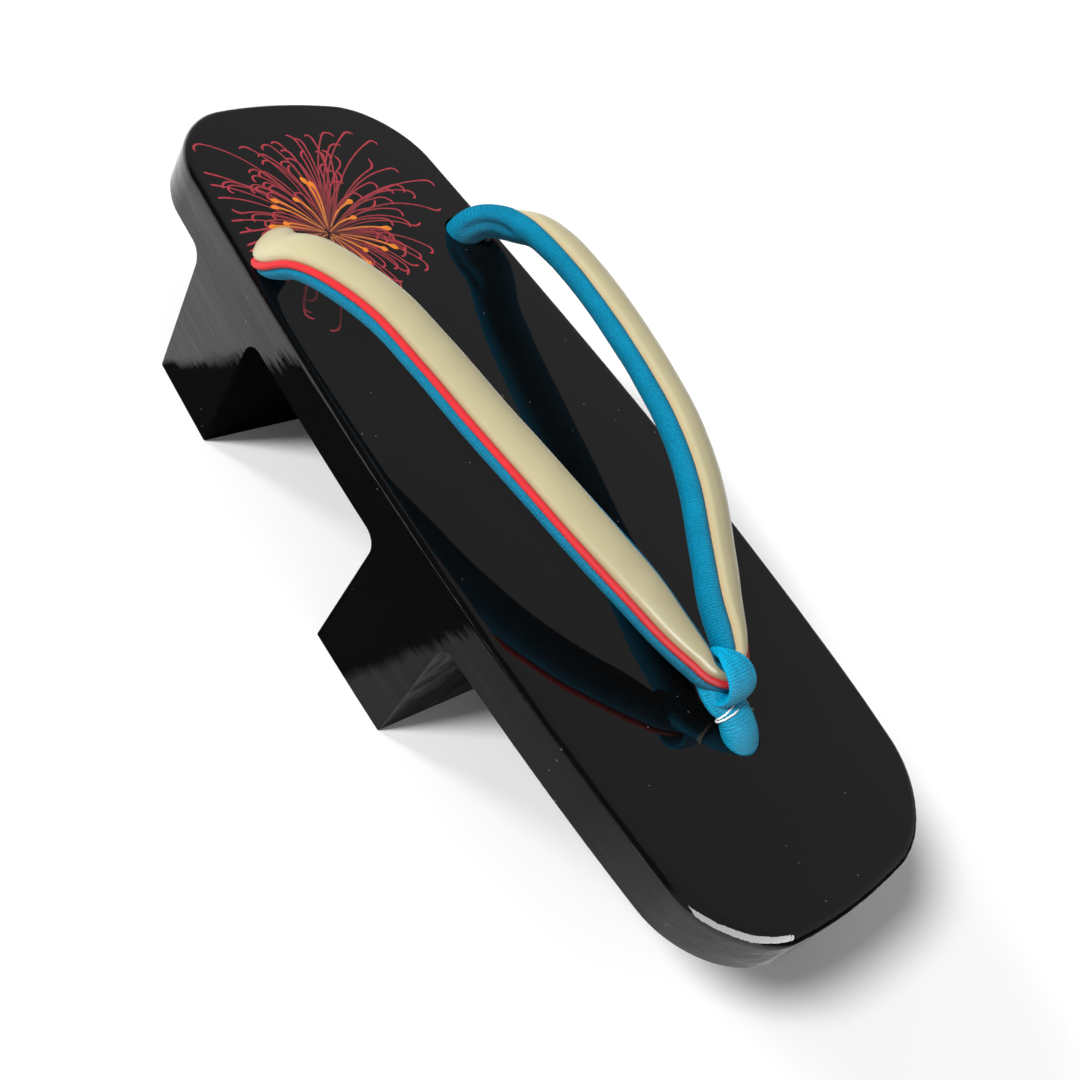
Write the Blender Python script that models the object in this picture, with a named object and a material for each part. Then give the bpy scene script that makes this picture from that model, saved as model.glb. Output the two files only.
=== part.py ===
"""Geta sandal: a carved wooden block on two teeth, with a padded V strap and a toe loop."""

import math

import bmesh
import bpy
import numpy as np
from mathutils import Vector

MM = 0.001

# The block: deck and two teeth sawn from one piece
DECK_LENGTH = 235 * MM
DECK_WIDTH = 86 * MM
DECK_THICKNESS = 12.3 * MM
TOOTH_HEIGHT = 35.6 * MM
HEEL_CORNER_REACH = 17.1 * MM
TOE_CORNER_REACH = 19.3 * MM
HEEL_BULGE = 5.6 * MM
TOE_BULGE = 5.1 * MM
TOP_EDGE_RADIUS = 1.8 * MM
TOE_EDGE_RADIUS = 3.2 * MM
TOE_EDGE_START = 0.82
FRONT_TOOTH_FROM_HEEL = 132.3 * MM
REAR_TOOTH_FROM_HEEL = 48.1 * MM
TOOTH_THICKNESS = 27 * MM
TOOTH_ROOT_RADIUS = 4 * MM
REAR_TOOTH_TAPER = 2.4 * MM
CLEARANCE = 0.3 * MM

# The deck's half width along its length, as shares of its length and of half its width
DECK_SIDE = [
    # along, half_width
    (0.10, 0.844),
    (0.37, 0.956),
    (0.63, 1.000),
    (0.88, 0.951),
]

# The strap: a padded tube bent into a V, its ends in the rear holes
REAR_HOLE_FROM_HEEL = 48.8 * MM
REAR_HOLE_SPREAD = 0.651 * DECK_WIDTH
STRAP_TAIL_DEPTH = 9 * MM
STRAP_POINT_FROM_HEEL = 183.6 * MM
STRAP_POINT_OFFSET = 3.1 * MM
STRAP_RISE = 20 * MM
STRAP_WIDTH = 12.4 * MM
STRAP_THICKNESS = 8.6 * MM
COVER_THICKNESS = 1 * MM
COVER_EDGE = 141
PIPING_DIAMETER = 1.9 * MM
PIPING_PROUD = 0.45 * MM
PIPING_SEAM = 33

# Stations of one strap arm, from its rear hole to the point of the V. along is a share of the
# reach from hole to point, the outs are shares of half the holes' spread, the ups of the rise,
# wide of the strap's width, thick of its thickness and the covers of the cover's full reach over
# the top. lean is how far the outer edge dips, in degrees.
STRAP_STATIONS = [
    # along, left_out, right_out, left_up, right_up, wide, thick, lean, left_cover, right_cover
    (0.000, 1.00, 0.99, -0.12, -0.12, 0.78, 1.00, 34, 0.50, 1.20),
    (0.004, 1.06, 1.06, 0.14, 0.14, 0.84, 0.98, 34, 0.50, 1.20),
    (0.022, 1.19, 1.20, 0.28, 0.28, 0.95, 0.94, 34, 0.58, 1.15),
    (0.062, 1.30, 1.30, 0.42, 0.46, 1.00, 0.95, 30, 0.80, 1.05),
    (0.105, 1.31, 1.29, 0.62, 0.73, 1.00, 0.98, 22, 1.00, 1.00),
    (0.170, 1.28, 1.23, 0.76, 0.91, 1.00, 1.00, 16, 1.00, 1.00),
    (0.268, 1.23, 1.11, 0.86, 1.03, 1.00, 1.00, 16, 1.00, 1.00),
    (0.380, 1.15, 1.00, 0.92, 1.02, 1.00, 1.00, 17, 1.00, 1.00),
    (0.491, 1.05, 0.89, 0.95, 0.97, 1.00, 1.00, 18, 1.00, 1.00),
    (0.602, 0.92, 0.78, 0.95, 0.94, 1.00, 1.00, 20, 1.00, 1.00),
    (0.713, 0.74, 0.64, 0.86, 0.87, 1.00, 1.00, 22, 0.98, 0.98),
    (0.825, 0.48, 0.45, 0.70, 0.74, 0.96, 1.00, 21, 0.96, 0.96),
    (0.892, 0.32, 0.32, 0.60, 0.61, 0.86, 0.98, 18, 0.92, 0.92),
    (0.947, 0.21, 0.21, 0.53, 0.51, 0.68, 0.92, 12, 0.85, 0.85),
    (0.979, 0.15, 0.15, 0.47, 0.46, 0.50, 0.76, 5, 0.75, 0.75),
    (1.000, 0.00, 0.00, 0.44, 0.44, 0.40, 0.56, 0, 0.65, 0.65),
]

# The loop round the V's point, and its post into the front hole
FRONT_HOLE_FROM_HEEL = 196.3 * MM
FRONT_HOLE_OFFSET = -1 * MM
POST_WIDTH = 9.6 * MM
POST_THICKNESS = 7 * MM
POST_DEPTH = 11 * MM
LOOP_THICKNESS = 2.3 * MM
LOOP_WIDTH = 8.8 * MM
LOOP_BACK_REACH = 6.4 * MM
LOOP_SLACK = 0.3 * MM

# The loop's band on its way round the point, as shares of its width and thickness. turn is in
# degrees, 0 towards the toe and 90 on top.
LOOP_STATIONS = [
    # turn, wide, thick
    (0, 0.97, 1.00),
    (45, 1.00, 1.10),
    (90, 0.86, 1.05),
    (135, 0.40, 0.90),
    (180, 0.19, 0.80),
    (225, 0.38, 0.80),
    (270, 0.80, 0.90),
    (315, 1.02, 0.95),
]

# Stations of the post from the loop's neck to the front hole. along is a share of the way from
# the V's point to the hole, out of the post's width and up of the strap's rise.
POST_STATIONS = [
    # along, out, up, wide, thick
    (0.26, 0.02, 0.225, 0.97, 0.50),
    (0.40, 0.05, 0.200, 0.97, 0.74),
    (0.60, 0.09, 0.125, 0.97, 0.94),
    (0.80, 0.07, 0.000, 1.00, 1.00),
    (0.94, 0.03, -0.160, 1.03, 1.00),
    (1.00, 0.00, -0.380, 1.03, 1.00),
]

# How far a saw cut or a drilled hole runs out past the wood
RUN_OUT = 5 * MM

# Sides of the faceted shapes
SIDE_STEPS = 8
CORNER_STEPS = 6
END_STEPS = 4
ROOT_STEPS = 4
EDGE_STEPS = 3
ROUTE_STEPS = 3
LOOP_ROUTE_STEPS = 2
POST_SIDES = 16
LOOP_SIDES = 8
PIPING_SIDES = 8
STRAP_SPACE_SIDES = 16
COVER_POINTS = 5
LINING_POINTS = 11

# Degrees past which an edge stays sharp
WOOD_EDGE = 35
CLOTH_EDGE = 50

COLOURS = {
    # name: colour, roughness, metallic
    "lacquer": ((0.015, 0.014, 0.014), 0.08, 0.0),
    "ribbed_cloth": ((0.005, 0.30, 0.48), 0.70, 0.0),
    "satin": ((0.72, 0.64, 0.42), 0.38, 0.0),
    "red_cord": ((0.75, 0.06, 0.04), 0.50, 0.0),
}

# Share of a corner's reach at which a curve's handles give a round quarter
ROUND_HANDLE = 0.5523

BLOCK_HEIGHT = DECK_THICKNESS + TOOTH_HEIGHT
HEEL_Y = -DECK_LENGTH / 2


def material(name):
    colour, roughness, metallic = COLOURS[name]
    made = bpy.data.materials.get(name) or bpy.data.materials.new(name)
    made.use_nodes = True
    shader = made.node_tree.nodes["Principled BSDF"]
    shader.inputs["Base Color"].default_value = (*colour, 1)
    shader.inputs["Roughness"].default_value = roughness
    shader.inputs["Metallic"].default_value = metallic
    return made


def finish_object(name, bm, material_name, smooth_angle):
    """Turn a bmesh into a linked object with outward faces."""
    bmesh.ops.recalc_face_normals(bm, faces=bm.faces)
    mesh = bpy.data.meshes.new(name)
    bm.to_mesh(mesh)
    bm.free()
    mesh.shade_smooth()
    mesh.set_sharp_from_angle(angle=math.radians(smooth_angle))
    thing = bpy.data.objects.new(name, mesh)
    thing.data.materials.append(material(material_name))
    bpy.context.scene.collection.objects.link(thing)
    return thing


def apply_boolean(target, cutter, operation):
    """Cut or join with the exact solver, then drop the cutter."""
    modifier = target.modifiers.new(operation.lower(), "BOOLEAN")
    modifier.operation = operation
    modifier.solver = "EXACT"
    modifier.object = cutter
    graph = bpy.context.evaluated_depsgraph_get()
    mesh = bpy.data.meshes.new_from_object(target.evaluated_get(graph))
    target.modifiers.clear()
    old = target.data
    target.data = mesh
    mesh.name = target.name
    bpy.data.meshes.remove(old)
    bpy.data.objects.remove(cutter)


def side_half_width(y):
    """Half the deck's width at a distance from the heel: a cubic through the table's rows."""
    rows = [(along * DECK_LENGTH, share * DECK_WIDTH / 2) for along, share in DECK_SIDE]
    total = 0.0
    for i, (yi, wi) in enumerate(rows):
        weight = 1.0
        for j, (yj, _) in enumerate(rows):
            if i != j:
                weight *= (y - yj) / (yi - yj)
        total += wi * weight
    return total


def end_line(x, toe):
    """Distance from the heel of the gently bulged front or back edge."""
    half = DECK_SIDE[-1 if toe else 0][1] * DECK_WIDTH / 2
    if toe:
        return DECK_LENGTH - TOE_BULGE * (x / half) ** 2
    return HEEL_BULGE * (x / half) ** 2


def corner_arc(toe):
    """Rounded corner on the right, as points from the side to the end."""
    reach = TOE_CORNER_REACH if toe else HEEL_CORNER_REACH
    sign = 1 if toe else -1
    y = DECK_LENGTH if toe else 0.0
    for _ in range(CORNER_STEPS):
        x = side_half_width(y)
        y = end_line(x, toe)
    step = 0.1 * MM
    y0, x1 = y - sign * reach, x - reach
    start = Vector((side_half_width(y0), y0))
    end = Vector((x1, end_line(x1, toe)))
    side_run = Vector((side_half_width(y0 + step) - side_half_width(y0 - step), 2 * step)) * sign
    end_run = Vector((2 * step, end_line(x1 + step, toe) - end_line(x1 - step, toe)))
    a = start + side_run / (2 * step) * reach * ROUND_HANDLE
    b = end + end_run / (2 * step) * reach * ROUND_HANDLE
    points = []
    for i in range(CORNER_STEPS + 1):
        t = i / CORNER_STEPS
        points.append(start * (1 - t) ** 3 + a * 3 * t * (1 - t) ** 2
                      + b * 3 * t * t * (1 - t) + end * t ** 3)
    return points


def deck_outline():
    """The deck seen from above, counter-clockwise, y from the heel."""
    heel, toe = corner_arc(False), corner_arc(True)
    right = []
    for i in range(END_STEPS):
        x = heel[-1].x * i / END_STEPS
        right.append(Vector((x, end_line(x, False))))
    right += reversed(heel)
    for i in range(1, SIDE_STEPS):
        y = heel[0].y + (toe[0].y - heel[0].y) * i / SIDE_STEPS
        right.append(Vector((side_half_width(y), y)))
    right += toe
    for i in range(1, END_STEPS + 1):
        x = toe[-1].x * (1 - i / END_STEPS)
        right.append(Vector((x, end_line(x, True))))
    left = [Vector((-p.x, p.y)) for p in reversed(right[1:-1])]
    return right + left


def rim_radius(y):
    """Rounding of the deck's top edge at a distance from the heel: it widens at the toe."""
    start = TOE_EDGE_START * DECK_LENGTH
    t = min(max((y - start) / (DECK_LENGTH - start), 0.0), 1.0)
    return TOP_EDGE_RADIUS + (TOE_EDGE_RADIUS - TOP_EDGE_RADIUS) * t * t * (3 - 2 * t)


def rim_ring(outline, angle):
    """The outline taken up and in over the rounded top edge, by an angle from its foot."""
    ring = []
    for i, p in enumerate(outline):
        run = outline[(i + 1) % len(outline)] - outline[i - 1]
        radius = rim_radius(p.y)
        moved = p + radius * (1 - math.cos(angle)) * Vector((-run.y, run.x)).normalized()
        ring.append((moved.x, moved.y + HEEL_Y, BLOCK_HEIGHT - radius * (1 - math.sin(angle))))
    return ring


def prism(outline, low, high):
    """Extrude a closed outline in y and z along x, as a bmesh."""
    return tube([[(x, *p) for p in outline] for x in (low, high)])


def tooth_gap(back, front, roots, taper=0.0):
    """Profile in y and z of the wood sawn away beside a tooth, its root corners rounded.

    roots says which ends, back and front, meet a tooth. taper is how much thinner the tooth at
    the front end is on the ground than at its root.
    """
    radius, floor, ceiling = TOOTH_ROOT_RADIUS, -RUN_OUT, TOOTH_HEIGHT
    slope = taper / (ceiling - radius)
    points = [Vector((back, floor)), Vector((front + taper - slope * floor, floor))]
    for end, y, side in ((1, front, -1), (0, back, 1)):
        if not roots[end]:
            points.append(Vector((y, ceiling)))
            continue
        centre = Vector((y + side * radius, ceiling - radius))
        arc = []
        for i in range(ROOT_STEPS + 1):
            angle = math.pi / 2 * i / ROOT_STEPS
            arc.append(centre + radius * Vector((-side * math.cos(angle), math.sin(angle))))
        points += arc if end else reversed(arc)
    return points


def sole_block():
    """Deck and teeth in one piece, with the three strap holes."""
    outline = deck_outline()
    rings = [[(p.x, p.y + HEEL_Y, 0.0) for p in outline]]
    rings += [rim_ring(outline, math.pi / 2 * i / EDGE_STEPS) for i in range(EDGE_STEPS + 1)]
    block = finish_object("sole_block", tube(rings), "lacquer", WOOD_EDGE)
    rear = HEEL_Y + REAR_TOOTH_FROM_HEEL
    front = HEEL_Y + FRONT_TOOTH_FROM_HEEL
    half = TOOTH_THICKNESS / 2
    gaps = [
        tooth_gap(HEEL_Y - RUN_OUT, rear - half, (False, True), REAR_TOOTH_TAPER),
        tooth_gap(rear + half, front - half, (True, True)),
        tooth_gap(front + half, -HEEL_Y + RUN_OUT, (True, False)),
    ]
    for gap in gaps:
        cutter = finish_object("gap", prism(gap, -DECK_WIDTH, DECK_WIDTH), "lacquer", WOOD_EDGE)
        apply_boolean(block, cutter, "DIFFERENCE")
    apply_boolean(block, strap_space(), "DIFFERENCE")
    apply_boolean(block, post_body(DECK_THICKNESS + RUN_OUT, CLEARANCE), "DIFFERENCE")
    block.data.set_sharp_from_angle(angle=math.radians(WOOD_EDGE))
    return block


def through(rows, steps):
    """A smooth curve through rows of numbers: Catmull-Rom, as an array of rows."""
    rows = np.array(rows, dtype=float)
    padded = np.vstack([2 * rows[0] - rows[1], rows, 2 * rows[-1] - rows[-2]])
    out = []
    for i in range(1, len(padded) - 2):
        a, b, c, d = padded[i - 1:i + 3]
        for k in range(steps):
            t = k / steps
            out.append(0.5 * (2 * b + (c - a) * t + (2 * a - 5 * b + 4 * c - d) * t ** 2
                              + (3 * b - a - 3 * c + d) * t ** 3))
    out.append(padded[-2])
    return np.array(out)


def upright_frames(points, start):
    """Tangent, side and up vectors along a route, carried from one point without twisting."""
    tangents = np.gradient(points, axis=0)
    tangents /= np.linalg.norm(tangents, axis=1)[:, None]
    ups = [None] * len(points)
    up = np.array((0.0, 0.0, 1.0))
    ups[start] = up
    for order in (range(start + 1, len(points)), range(start - 1, -1, -1)):
        current = up
        for i in order:
            current = current - tangents[i] * np.dot(current, tangents[i])
            current = current / np.linalg.norm(current)
            ups[i] = current
    ups = np.array(ups)
    return np.cross(ups, tangents), ups


def tube(rings):
    """A closed tube through rings of points with equal counts, as a bmesh."""
    bm = bmesh.new()
    loops = [[bm.verts.new(p) for p in ring] for ring in rings]
    count = len(loops[0])
    for a, b in zip(loops, loops[1:]):
        for i in range(count):
            j = (i + 1) % count
            bm.faces.new((a[i], a[j], b[j], b[i]))
    bm.faces.new(loops[0])
    bm.faces.new(loops[-1])
    return bm


def oval(wide, thick, angle, inset=0.0):
    """Point of an oval section at an angle in degrees, 0 at the outer edge and 90 on top."""
    a, b, t = wide / 2, thick / 2, math.radians(angle)
    place = np.array((a * math.cos(t), b * math.sin(t)))
    normal = np.array((b * math.cos(t), a * math.sin(t)))
    return place - inset * normal / np.linalg.norm(normal)


def arc_angle(wide, thick, angle, length):
    """Degrees of the oval's own angle that a short length of its edge takes up."""
    t = math.radians(angle)
    speed = math.hypot(wide / 2 * math.sin(t), thick / 2 * math.cos(t))
    return math.degrees(length / speed)


def strap_route():
    """Stations of the whole strap, left hole to point to right hole."""
    reach = STRAP_POINT_FROM_HEEL - REAR_HOLE_FROM_HEEL
    left, right = [], []
    for along, left_out, right_out, left_up, right_up, *shape, left_cover, right_cover in (
            STRAP_STATIONS):
        middle = STRAP_POINT_OFFSET * along
        y = HEEL_Y + REAR_HOLE_FROM_HEEL + along * reach
        wide, thick, lean = shape
        for side, out, up, cover, rows in ((-1, left_out, left_up, left_cover, left),
                                           (1, right_out, right_up, right_cover, right)):
            x = middle + side * out * REAR_HOLE_SPREAD / 2
            rows.append((x, y, BLOCK_HEIGHT + up * STRAP_RISE, wide * STRAP_WIDTH,
                         thick * STRAP_THICKNESS, lean, cover))
    for rows in (left, right):
        x, y, _, *shape = rows[0]
        rows.insert(0, (x, y, BLOCK_HEIGHT - STRAP_TAIL_DEPTH, *shape))
    return through(left + right[-2::-1], ROUTE_STEPS)


def strap_sections():
    """Centre, side, up, width, thickness and cover share of each section along the strap."""
    route = strap_route()
    points = route[:, :3]
    sides, ups = upright_frames(points, len(points) // 2)
    sections = []
    for centre, side, up, (wide, thick, lean, cover) in zip(points, sides, ups, route[:, 3:]):
        dip = math.radians(lean)
        tilted_side = side * math.cos(dip) - up * math.sin(dip)
        tilted_up = up * math.cos(dip) + side * math.sin(dip)
        sections.append((centre, tilted_side, tilted_up, wide, thick, cover))
    return sections


def place_ring(section, flat):
    """Points of a flat section set at its place along a route."""
    centre, side, up = section[:3]
    return [centre + side * u + up * v for u, v in flat]


def seam_angles(wide, thick, cover):
    """Where the piping's seat ends and where the cover starts and stops, in degrees."""
    half = arc_angle(wide, thick, PIPING_SEAM, PIPING_DIAMETER / 2 + CLEARANCE)
    start = PIPING_SEAM + half
    stop = start + (COVER_EDGE - start) * cover
    return PIPING_SEAM - half, start, stop


def spread(start, stop, count):
    return [start + (stop - start) * i / (count - 1) for i in range(count)]


def strap_space():
    """The room that the strap takes up, piping and clearance included: cuts its rear holes."""
    rings = []
    for section in strap_sections():
        wide, thick = section[3:5]
        flat = [oval(wide, thick, 360 * i / STRAP_SPACE_SIDES, -CLEARANCE - PIPING_PROUD)
                for i in range(STRAP_SPACE_SIDES)]
        rings.append(place_ring(section, flat))
    for end in (0, -1):
        rings[end] = [point - np.array((0, 0, CLEARANCE)) for point in rings[end]]
    return finish_object("strap_space", tube(rings), "lacquer", WOOD_EDGE)


def strap_lining():
    """The padded body of the strap, with a seat for the piping and a step for the cover."""
    seat = PIPING_DIAMETER - PIPING_PROUD + CLEARANCE
    step = COVER_THICKNESS + CLEARANCE
    rings = []
    for section in strap_sections():
        wide, thick, cover = section[3:]
        low, start, stop = seam_angles(wide, thick, cover)
        flat = [oval(wide, thick, angle, step) for angle in spread(start, stop, COVER_POINTS)]
        flat += [oval(wide, thick, angle) for angle in spread(stop, 360 + low, LINING_POINTS)]
        flat += [oval(wide, thick, angle, seat) for angle in (low, start)]
        rings.append(place_ring(section, flat))
    return finish_object("strap_lining", tube(rings), "ribbed_cloth", CLOTH_EDGE)


def strap_cover():
    """The satin strip let into the top of the strap."""
    rings = []
    for section in strap_sections():
        wide, thick, cover = section[3:]
        _, start, stop = seam_angles(wide, thick, cover)
        stop -= arc_angle(wide, thick, stop, CLEARANCE)
        angles = spread(start, stop, COVER_POINTS)
        flat = [oval(wide, thick, angle) for angle in angles]
        flat += [oval(wide, thick, angle, COVER_THICKNESS) for angle in reversed(angles)]
        rings.append(place_ring(section, flat))
    return finish_object("strap_cover", tube(rings), "satin", CLOTH_EDGE)


def strap_piping():
    """The round cord in the seam on the strap's outer shoulder."""
    radius = PIPING_DIAMETER / 2
    rings = []
    for section in strap_sections():
        wide, thick = section[3:5]
        centre = oval(wide, thick, PIPING_SEAM, radius - PIPING_PROUD)
        flat = []
        for i in range(PIPING_SIDES):
            angle = 2 * math.pi * i / PIPING_SIDES
            flat.append(centre + radius * np.array((math.cos(angle), math.sin(angle))))
        rings.append(place_ring(section, flat))
    return finish_object("strap_piping", tube(rings), "red_cord", CLOTH_EDGE)


def post_body(depth, grow=0.0):
    """The post from the loop's neck to a depth in the front hole, grown by a clearance."""
    start = np.array((STRAP_POINT_OFFSET, HEEL_Y + STRAP_POINT_FROM_HEEL))
    end = np.array((FRONT_HOLE_OFFSET, HEEL_Y + FRONT_HOLE_FROM_HEEL))
    rows = []
    for along, out, up, wide, thick in POST_STATIONS:
        x, y = start + (end - start) * along
        rows.append((x + out * POST_WIDTH, y, BLOCK_HEIGHT + up * STRAP_RISE, wide * POST_WIDTH,
                     thick * POST_THICKNESS))
    rows.append((*rows[-1][:2], BLOCK_HEIGHT - depth, *rows[-1][3:]))
    route = through(rows, ROUTE_STEPS)
    sides, ups = upright_frames(route[:, :3], 0)
    rings = []
    for centre, side, up, (wide, thick) in zip(route[:, :3], sides, ups, route[:, 3:]):
        flat = [oval(wide, thick, 360 * i / POST_SIDES, -grow) for i in range(POST_SIDES)]
        rings.append(place_ring((centre, side, up), flat))
    return finish_object("toe_loop", tube(rings), "ribbed_cloth", CLOTH_EDGE)


def loop_band():
    """The flat band once round the V's point, between the two arms and over the top."""
    point = STRAP_STATIONS[-1]
    wide, thick = point[5] * STRAP_WIDTH, point[6] * STRAP_THICKNESS
    front = wide / 2 + PIPING_PROUD + CLEARANCE + LOOP_THICKNESS / 2
    across = (front + LOOP_BACK_REACH) / 2
    high = thick / 2 + PIPING_PROUD + CLEARANCE + LOOP_SLACK + LOOP_THICKNESS / 2
    middle = np.array((STRAP_POINT_OFFSET, HEEL_Y + STRAP_POINT_FROM_HEEL + front - across,
                       BLOCK_HEIGHT + point[3] * STRAP_RISE))
    rows = [*LOOP_STATIONS, (LOOP_STATIONS[0][0] + 360, *LOOP_STATIONS[0][1:])]
    bm = bmesh.new()
    loops = []
    for turn, wide, thick in through(rows, LOOP_ROUTE_STEPS)[:-1]:
        t = math.radians(turn)
        centre = middle + np.array((0, across * math.cos(t), high * math.sin(t)))
        out = np.array((0, high * math.cos(t), across * math.sin(t)))
        out /= np.linalg.norm(out)
        ring = []
        for i in range(LOOP_SIDES):
            u, v = oval(wide * LOOP_WIDTH, thick * LOOP_THICKNESS, 360 * i / LOOP_SIDES)
            ring.append(bm.verts.new(centre + np.array((u, 0, 0)) + out * v))
        loops.append(ring)
    for a, b in zip(loops, loops[1:] + loops[:1]):
        for i in range(LOOP_SIDES):
            j = (i + 1) % LOOP_SIDES
            bm.faces.new((a[i], a[j], b[j], b[i]))
    return finish_object("band", bm, "ribbed_cloth", CLOTH_EDGE)


def toe_loop():
    """Loop and post in one piece of ribbed cloth."""
    post = post_body(POST_DEPTH)
    apply_boolean(post, loop_band(), "UNION")
    return post


def main():
    for thing in list(bpy.data.objects):
        bpy.data.objects.remove(thing)
    sole_block()
    strap_lining()
    strap_cover()
    strap_piping()
    toe_loop()


main()
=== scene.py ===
"""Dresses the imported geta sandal: lacquered block, padded strap, toe loop and painted burst."""

import math
import random

import bmesh
import bpy
import numpy as np
from bpy.props import FloatProperty, FloatVectorProperty, IntProperty, PointerProperty
from mathutils import Matrix, Vector


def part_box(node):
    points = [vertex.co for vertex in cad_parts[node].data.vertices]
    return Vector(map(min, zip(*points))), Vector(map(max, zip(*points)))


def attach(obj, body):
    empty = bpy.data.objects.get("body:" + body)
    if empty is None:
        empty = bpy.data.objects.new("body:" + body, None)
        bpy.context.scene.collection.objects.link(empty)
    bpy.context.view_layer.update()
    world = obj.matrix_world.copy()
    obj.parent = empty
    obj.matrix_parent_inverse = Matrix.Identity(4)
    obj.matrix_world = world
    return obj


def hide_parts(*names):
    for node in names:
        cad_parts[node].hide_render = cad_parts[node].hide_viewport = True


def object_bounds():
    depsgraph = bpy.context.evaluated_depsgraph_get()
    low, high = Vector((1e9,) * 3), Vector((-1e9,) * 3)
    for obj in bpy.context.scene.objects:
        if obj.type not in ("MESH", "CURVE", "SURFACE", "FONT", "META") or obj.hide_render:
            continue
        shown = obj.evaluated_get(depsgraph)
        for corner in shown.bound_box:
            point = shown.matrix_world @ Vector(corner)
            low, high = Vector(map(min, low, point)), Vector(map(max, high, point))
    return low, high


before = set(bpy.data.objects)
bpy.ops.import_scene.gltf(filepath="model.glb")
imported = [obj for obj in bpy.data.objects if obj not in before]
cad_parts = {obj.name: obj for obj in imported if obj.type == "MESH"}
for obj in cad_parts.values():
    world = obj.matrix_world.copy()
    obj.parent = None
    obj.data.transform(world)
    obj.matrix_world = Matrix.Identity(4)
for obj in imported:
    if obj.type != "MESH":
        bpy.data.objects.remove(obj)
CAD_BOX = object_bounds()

bl_info = {
    "name": "Geta Sandal Dressing",
    "version": (1, 0, 0),
    "blender": (4, 5, 0),
    "location": "3D View > Sidebar > Geta",
    "description": "Builds the finished look of a lacquered geta sandal on its packed frame",
    "category": "Object",
}

MM = 0.001
BODY = "root"
DECK_LENGTH = CAD_BOX[1].y - CAD_BOX[0].y
HEEL_Y = CAD_BOX[0].y
BLOCK_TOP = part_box("sole_block")[1].z
# The room round strap and post in their holes, and the distance at which points are one
CLEARANCE = 0.3 * MM
WELD = 1e-6

# The deck's half width along its length, as shares of its length and of half its width
DECK_SIDE = [
    # along, half_width
    (0.10, 0.844),
    (0.37, 0.956),
    (0.63, 1.000),
    (0.88, 0.951),
]

# Stations of one strap arm from its rear hole to the point of the V, as in the solid model
STRAP_STATIONS = [
    # along, left_out, right_out, left_up, right_up, wide, thick, lean, left_cover, right_cover
    (0.000, 1.00, 0.99, -0.12, -0.12, 0.78, 1.00, 34, 0.50, 1.20),
    (0.004, 1.06, 1.06, 0.14, 0.14, 0.84, 0.98, 34, 0.50, 1.20),
    (0.022, 1.19, 1.20, 0.28, 0.28, 0.95, 0.94, 34, 0.58, 1.15),
    (0.062, 1.30, 1.30, 0.42, 0.46, 1.00, 0.95, 30, 0.80, 1.05),
    (0.105, 1.31, 1.29, 0.62, 0.73, 1.00, 0.98, 22, 1.00, 1.00),
    (0.170, 1.28, 1.23, 0.76, 0.91, 1.00, 1.00, 16, 1.00, 1.00),
    (0.268, 1.23, 1.11, 0.86, 1.03, 1.00, 1.00, 16, 1.00, 1.00),
    (0.380, 1.15, 1.00, 0.92, 1.02, 1.00, 1.00, 17, 1.00, 1.00),
    (0.491, 1.05, 0.89, 0.95, 0.97, 1.00, 1.00, 18, 1.00, 1.00),
    (0.602, 0.92, 0.78, 0.95, 0.94, 1.00, 1.00, 20, 1.00, 1.00),
    (0.713, 0.74, 0.64, 0.86, 0.87, 1.00, 1.00, 22, 0.98, 0.98),
    (0.825, 0.48, 0.45, 0.70, 0.74, 0.96, 1.00, 21, 0.96, 0.96),
    (0.892, 0.32, 0.32, 0.60, 0.61, 0.86, 0.98, 18, 0.92, 0.92),
    (0.947, 0.21, 0.21, 0.53, 0.51, 0.68, 0.92, 12, 0.85, 0.85),
    (0.979, 0.15, 0.15, 0.47, 0.46, 0.50, 0.76, 5, 0.75, 0.75),
    (1.000, 0.00, 0.00, 0.44, 0.44, 0.40, 0.56, 0, 0.65, 0.65),
]

# The loop's band round the point: turn in degrees, 0 towards the toe and 90 on top
LOOP_STATIONS = [
    # turn, wide, thick
    (0, 0.97, 1.00),
    (45, 1.00, 1.10),
    (90, 0.86, 1.05),
    (135, 0.40, 0.90),
    (180, 0.19, 0.80),
    (225, 0.38, 0.80),
    (270, 0.80, 0.90),
    (315, 1.02, 0.95),
]

# Stations of the post from the loop's neck to the front hole
POST_STATIONS = [
    # along, out, up, wide, thick
    (0.26, 0.02, 0.225, 0.97, 0.50),
    (0.40, 0.05, 0.200, 0.97, 0.74),
    (0.60, 0.09, 0.125, 0.97, 0.94),
    (0.80, 0.07, 0.000, 1.00, 1.00),
    (0.94, 0.03, -0.160, 1.03, 1.00),
    (1.00, 0.00, -0.380, 1.03, 1.00),
]


def length(name, text, default):
    return FloatProperty(name=name, description=text, default=default, unit="LENGTH", precision=4)


def amount(name, text, default):
    return FloatProperty(name=name, description=text, default=default)


def colour(name, text, default):
    return FloatVectorProperty(name=name, description=text, default=default, size=3,
                               subtype="COLOR", min=0.0, max=1.0)


class SoleSettings(bpy.types.PropertyGroup):
    width: length("Deck width", "Widest place of the deck", 86 * MM)
    thickness: length("Deck thickness", "Wood above the teeth", 12.3 * MM)
    rim: length("Rim radius", "Rounding of the deck's top edge", 1.8 * MM)
    toe_rim: length("Toe rim radius", "Rounding of the top edge at the toe", 3.2 * MM)
    tooth: length("Tooth thickness", "Front tooth, heel to toe", 27 * MM)
    edge: length("Worn edge", "Rounding of the sawn edges", 0.45 * MM)
    lacquer: colour("Lacquer", "Colour under the gloss", (0.0022, 0.0020, 0.0020))


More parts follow.
